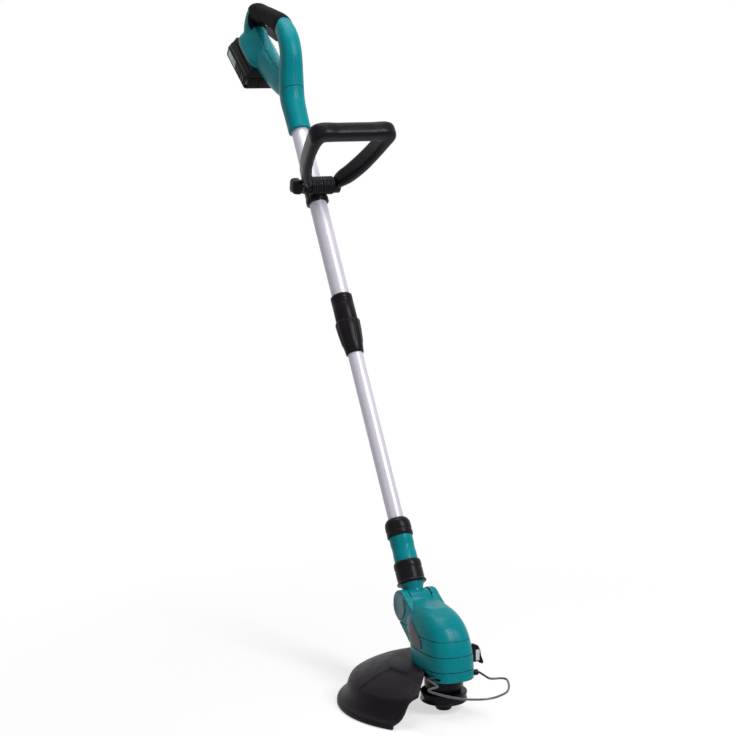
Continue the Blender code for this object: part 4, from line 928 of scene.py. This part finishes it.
def grip_piece():
    """The rubber overmould: it wraps the grip but for the trigger's slit, with slanted ends. Behind the
    trigger it widens until it closes all the way round the underside: painted shade, black rubber put where
    the grip's underside lies in shade.
    """
    rows = handle_rows(ARCH, GRIP_ROWS)
    rings = []
    for station in range(GRIP_STEPS + 1):
        share = station / GRIP_STEPS
        # Widening the spread behind the trigger closes the rubber round the underside: painted shade
        spread = GRIP_SPREAD + GRIP_SHADE_CLOSING * ramp(share, *GRIP_SHADE_CLOSES)
        thick = SOFT_GRIP_THICK * eased(min(station, GRIP_STEPS - station) / 5, 0.35)
        ring = []
        for lift, order in ((thick, 1), (0.0, -1)):
            part = []
            for step in range(GRIP_STEPS + 1):
                angle = spread * (2.0 * step / GRIP_STEPS - 1.0)
                ca, sa = cos(angle), sin(angle)
                start = GRIP_SPAN[0] + 0.2 * max(ca, 0.0) ** 2
                end = GRIP_SPAN[1] + 0.65 * max(ca, 0.0) ** 2 + 2.0 * max(-ca, 0.0)
                (x, z, half_a, half_b), side = along_rows(rows, GRIP_ROWS * (start + (end - start) * share))
                out = GRIP_GAP + lift * eased(min(step, GRIP_STEPS - step) / 3, 0.3)
                part.append(Vector((x, 0, z)) + side * (half_a + out) * squared(ca)
                            + Vector((0, (half_b + out) * squared(sa), 0)))
            ring += part[::order]
        rings.append(ring)
    settle(lofted("soft_grip_fine", rings, SHAFT), "handle", "rubber", "soft_grip", angle=50.0)


def control_pieces():
    trigger = prism("trigger_fine", smooth_outline(trigger_outline(), 4), -TRIGGER_HALF, TRIGGER_HALF, SHAFT)
    settle(edged(trigger, 1.6 * MM, 4, 60), "trigger", "black", "trigger", angle=50.0)
    button = turned("lock_off_fine", [
        (0, 6 * MM), (LOCK_OFF_R, 6 * MM),
        *rim(LOCK_OFF_R, LOCK_OFF_FACE, [(0, -1.2), (-1.2, 0), (-2.4, 0), (-3.2, -0.5)]),
        (0, LOCK_OFF_FACE - 0.8 * MM)], SHAFT, 64, "Y", LOCK_OFF)
    settle(button, "lock_off", "black", "lock_off_button")


def dock_block(name, low, high):
    return block(name, low, high, DOCK)


def corner_tool(side, low, high):
    """What a rounded front corner of the battery leaves away."""
    radius, steps, past = BATTERY_CORNER, 10, 4 * MM
    turns = [pi / 2 * k / steps for k in range(steps + 1)]
    arc = [(BATTERY_FRONT - radius + radius * sin(turn),
            side * (BATTERY_HALF - radius + radius * cos(turn))) for turn in turns]
    beside = side * (BATTERY_HALF + past)
    outline = [(arc[0][0], beside), *arc[1:-1], (BATTERY_FRONT + past, arc[-1][1]),
               (BATTERY_FRONT + past, beside)]
    return lofted("corner_tool", [[(x, y, z) for x, y in outline] for z in (low, high)], DOCK)


def battery_base_piece():
    """The lower case: rounded edges and corners, with grooves around it and on its front end."""
    half, front, floor, wall = BATTERY_HALF, BATTERY_FRONT, -BATTERY_DEPTH, BATTERY_WALL
    base = dock_block("battery_base_fine", (BATTERY_REAR, -half, floor), (front, half, BATTERY_SPLIT))
    edged(base, BATTERY_EDGE, 6)
    below, beside, past = floor - 5 * MM, half + 5 * MM, front + 5 * MM
    tools = [corner_tool(side, below, BATTERY_SPLIT + 5 * MM) for side in (-1, 1)]
    for index in range(3):
        x = front - (12 + 8 * index) * MM
        for side in (-1, 1):
            low, high = span(side, half - GROOVE_SINK, beside)
            tools.append(dock_block("groove", (x, low, below), (x + 3 * MM, high, BATTERY_SPLIT - 4 * MM)))
        tools.append(dock_block("groove", (x, -beside, below), (x + 3 * MM, beside, floor + GROOVE_SINK)))
    for index in range(4):
        for side in (-1, 1):
            low, high = sorted(side * (half - (5.5 + 5.8 * index + width) * MM) for width in (0.0, 2.6))
            tools.append(dock_block("end_groove", (front - 1.4 * MM, low, below),
                                    (past, high, BATTERY_SPLIT - 3 * MM)))
    tools.append(dock_block("room", (BATTERY_REAR + wall, -half + wall, floor + wall),
                            (front - wall, half - wall, BATTERY_SPLIT + 20 * MM)))
    combine(base, tools)
    settle(edged(base, 0.5 * MM, 2, 50), "battery", "black", "battery_base", angle=45.0)


def battery_cover_piece():
    """The upper case, which narrows to the rails that hold it in the dock."""
    half, front, split, top = BATTERY_HALF, BATTERY_FRONT, BATTERY_SPLIT, BATTERY_TOP
    levels = [(split + GAP, half), (-15 * MM, half), (-9 * MM, half - 5 * MM), (-GAP, half - 9 * MM)]
    rings = [[(top, -wide, z), (front, -wide, z), (front, wide, z), (top, wide, z)] for z, wide in levels]
    cover = edged(lofted("battery_cover_fine", rings, DOCK), 2 * MM, 4, 25)
    tools = [dock_block("cover_room", (top + BATTERY_WALL, -half + 13 * MM, split - 20 * MM),
                        (front - BATTERY_WALL, half - 13 * MM, -2.7 * MM)),
             dock_block("latch_room", (top - 5 * MM, *mm(-12.4, -16.4)), (top + 10 * MM, *mm(12.4, -5.6)))]
    for side in (-1, 1):
        low, high = span(side, half - 8 * MM, half + 5 * MM)
        tools.append(dock_block("rail", (top + 14 * MM, low, -7.5 * MM), (front + 5 * MM, high, -5 * MM)))
    combine(cover, tools)
    settle(edged(cover, 0.5 * MM, 2, 50), "battery", "black", "battery_cover", angle=45.0)


def patch_pieces():
    """The pale bare patches on the battery's sides."""
    for side, name in ((-1, "bare_patch_right"), (1, "bare_patch_left")):
        low, high = span(side, BATTERY_HALF, BATTERY_HALF + 0.25 * MM)
        patch = dock_block(name, (BATTERY_REAR + 12 * MM, low, -BATTERY_DEPTH + 8 * MM),
                           (BATTERY_REAR + 52 * MM, high, BATTERY_SPLIT - 6 * MM))
        settle(edged(patch, 0.12 * MM), "battery", "patch")


def latch_piece():
    top = BATTERY_TOP
    latch = dock_block("latch_fine", (top - 4 * MM, *mm(-12, -16)), (top + 6 * MM, *mm(12, -6)))
    edged(latch, 1.2 * MM, 4)
    combine(latch, [dock_block("ridge", (top - 6 * MM, *mm(-9, z)), (top - 3.4 * MM, *mm(9, z + 1)))
                    for z in (-13.5, -11.5, -9.5)])
    settle(edged(latch, 0.25 * MM), "latch", "slate", "battery_latch")


# Front handle

def d_rows():
    right = [(-3, 6, 4, 9), (11, 7, 5.5, 12), (23, 12, 8, 14), (38, 20, 9, 15), (70, 30.5, 8.4, 16),
             (110, 38.5, 8, 16), (145, 42.5, 10, 15.5), (161, 41.5, 14.5, 14.6), (166.7, 33, 15.2, 13.8),
             (166.7, 12, 14, 13.5), (166.7, -10, 14, 13.5)]
    right = [(u * MM, -CLAMP_HALF - v * MM, a * MM, b * MM) for u, v, a, b in right]
    return smooth_rows(right + [(u, -v, a, b) for u, v, a, b in right[::-1]], 8)


def front_handle_pieces():
    rows = d_rows()
    rings = []
    for index, (u, v, half_a, half_b) in enumerate(rows):
        side = Vector((*outward(rows, index), 0))
        rings.append([Vector((u, v, 0)) + side * a + Vector((0, 0, b))
                      for a, b in super_ring(half_a, half_b, 48, D_POWER)])
    handle = lofted("d_handle_fine", rings, D_FRAME)
    near = CLAMP_HALF + GAP
    bosses = [turned("boss", disc(BOSS_R - 2 * MM, *span(side, near, near + D_EYE)), D_FRAME, axis="Y")
              for side in (-1, 1)]
    combine(handle, bosses, "UNION")
    combine(handle, [cross_bore(BOLT_R + GAP, D_FRAME)])
    settle(edged(handle, 0.5 * MM, 2, 55), "front_handle", "black", "d_handle", angle=50.0)


def clamp_pieces():
    low, high = CLAMP_S - CLAMP_LENGTH / 2, CLAMP_S + CLAMP_LENGTH / 2
    outer = UPPER_TUBE[1] + CLAMP_WALL
    body = turned("tube_clamp_fine", [
        (0, low), *rim(outer, low, [(-1.5, 0), (0, 1.5), (0, 9), (-1, 10)]),
        *rim(outer, high, [(-1, -10), (0, -9), (0, -1.5), (-1.5, 0)]), (0, high)], SHAFT)
    place = (BOLT_X, 0, CLAMP_S)
    combine(body, [turned("boss", disc(BOSS_R, -CLAMP_HALF, CLAMP_HALF), SHAFT, 96, "Y", place)], "UNION")
    tools = [turned("bore", disc(UPPER_TUBE[1] + GAP, low - 9 * MM, high + 9 * MM), SHAFT),
             cross_bore(BOLT_R + GAP, place=place),
             block("slot", (10 * MM, -0.8 * MM, low - 9 * MM), (50 * MM, 0.8 * MM, high + 9 * MM), SHAFT)]
    for side in (-1, 1):
        for depth in (2.2, 5.4, 8.6, 11.8, 15.0):
            a, b = span(side, CLAMP_HALF - depth * MM, CLAMP_HALF - (depth + 1.2) * MM)
            ring = tube(BOSS_R - 1.4 * MM, BOSS_R + 9 * MM, a, b)
            tools.append(turned("ring", ring, SHAFT, 96, "Y", place))
    combine(body, tools)
    settle(edged(body, 0.4 * MM, 2, 50), "clamp", "black", "tube_clamp", angle=45.0)


def knob_piece():
    near = -(CLAMP_HALF + D_EYE + 2 * GAP + KNOB_SEAT)
    rings = []
    rows = smooth_rows([(0, 9), (1.5, 12), (4, 13.5), (9, 13.6), (14, 12.6), (16.2, 10.4), (17, 8)], 3)
    angles = [2 * pi * step / 96 for step in range(96)]
    for depth, radius in rows:
        ring = [(radius * MM * (1 + 0.13 * cos(4 * angle)), angle) for angle in angles]
        rings.append([(r * cos(angle), near - depth * MM, r * sin(angle)) for r, angle in ring])
    knob = lofted("clamp_knob_fine", rings, D_FRAME)
    combine(knob, [turned("room", disc(BOLT_R + GAP, near - 8 * MM, near + 5 * MM), D_FRAME, 40, "Y")])
    settle(knob, "clamp_screw", "black", "clamp_knob", angle=50.0)


# Carried-over CAD nodes

NODE_LOOKS = {
    "steel": ("tilt_pin", "line_cutter", "motor_can", "motor_bearing", "motor_shaft", "eyelet_left",
              "eyelet_right", "clamp_bolt", "bump_spring", "collar_spring"),
    "rubber": ("motor_cable",),
    "line": ("line_winding",),
    "slate": ("line_reel", "terminal_block", *(f"battery_cell_{number}" for number in range(1, 6))),
}


def dress_nodes(nodes):
    """Gives the CAD nodes that stay in view their looks, black for those not in the table."""
    plan = {name: look for look, names in NODE_LOOKS.items() for name in names}
    for name, item in nodes.items():
        soften_node(item, plan.get(name, "black"))


# Stage

def shown_rays(tree):
    """1 for the rays that show the background: to the camera, off gloss and through glass."""
    path = add_node(tree, "LightPath").outputs
    share = path["Is Camera Ray"]
    for name in ("Is Glossy Ray", "Is Transmission Ray"):
        share = add_node(tree, "Math", {0: share, 1: path[name]}, operation="MAXIMUM").outputs[0]
    return share


def shader_mix(tree, kind, factor, first, second):
    """Ends a bare node tree in a mix of two shaders."""
    mix = add_node(tree, "MixShader", {0: factor, 1: first.outputs[0], 2: second.outputs[0]})
    add_node(tree, kind, {"Surface": mix.outputs[0]})


def lit_floor():
    """A white floor that keeps a soft contact shadow and fades into the white backdrop."""
    made = bpy.data.materials.new("pale_floor")
    made.use_nodes = True
    tree = made.node_tree
    tree.nodes.clear()
    place = add_node(tree, "TexCoord").outputs["Object"]
    away = add_node(tree, "VectorMath", {0: place}, operation="LENGTH").outputs["Value"]
    fade = ranged(tree, away, *FLOOR_FADE, FLOOR_GLOW, 1.0)
    share = add_node(tree, "Math", {0: fade, 1: shown_rays(tree)}, operation="MULTIPLY").outputs[0]
    shader_mix(tree, "OutputMaterial", share, add_node(tree, "BsdfDiffuse", {"Color": (0.8, 0.8, 0.8, 1.0)}),
               add_node(tree, "Emission", {"Strength": 1.0}))
    return made


def add_floor():
    floor = solid("floor", [(-9, -9, 0), (9, -9, 0), (9, 9, 0), (-9, 9, 0)], [(0, 1, 2, 3)])
    floor.location.z = -0.0002
    floor.data.materials.append(lit_floor())


def add_world():
    """Soft light from all sides, and plain white for the rays that show the background."""
    world = bpy.data.worlds.new("studio")
    bpy.context.scene.world = world
    world.use_nodes = True
    tree = world.node_tree
    tree.nodes.clear()
    shader_mix(tree, "OutputWorld", shown_rays(tree), add_node(tree, "Background", {"Strength": SOFT_LIGHT}),
               add_node(tree, "Background", {"Strength": 1.0, "Color": (1.0, 1.0, 1.0, 1.0)}))


def aimed(name, data, place, direction):
    """Adds a lamp or a camera that looks along a direction."""
    made = add_object(name, data)
    made.location = place
    made.rotation_euler = direction.to_track_quat("-Z", "Y").to_euler()
    return made


def add_light(name, place, aim, size, watts):
    data = bpy.data.lights.new(name, "AREA")
    data.shape = "RECTANGLE"
    data.size, data.size_y = size
    data.energy = watts
    aimed(name, data, place, Vector(aim) - Vector(place))


def add_camera():
    data = bpy.data.cameras.new("photo_camera")
    data.sensor_width = SENSOR_MM
    data.lens = SENSOR_MM * CAMERA_FOCAL_PIXELS / PHOTO_PIXELS
    data.clip_end = 60.0
    bpy.context.scene.camera = aimed("photo_camera", data, CAMERA_PLACE, CAMERA_AIM)


def add_stage():
    add_floor()
    add_world()
    for lamp in LAMPS:
        add_light(*lamp)
    bpy.context.scene.view_settings.view_transform = "Standard"
    add_camera()


def dress():
    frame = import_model()
    for name, _, *values in LOOKS.values():
        finish(name, *values)
    dress_nodes(frame["nodes"])
    for make in (shaft_pieces, lock_pieces, neck_pieces, yoke_piece, housing_pieces, tilt_button_piece,
                 side_plate_piece, guard_piece, spool_pieces, wire_rest_piece, wire_piece, handle_pieces,
                 grip_piece, control_pieces, battery_base_piece, battery_cover_piece, patch_pieces,
                 latch_piece, front_handle_pieces, clamp_pieces, knob_piece):
        make()
    add_stage()


dress()
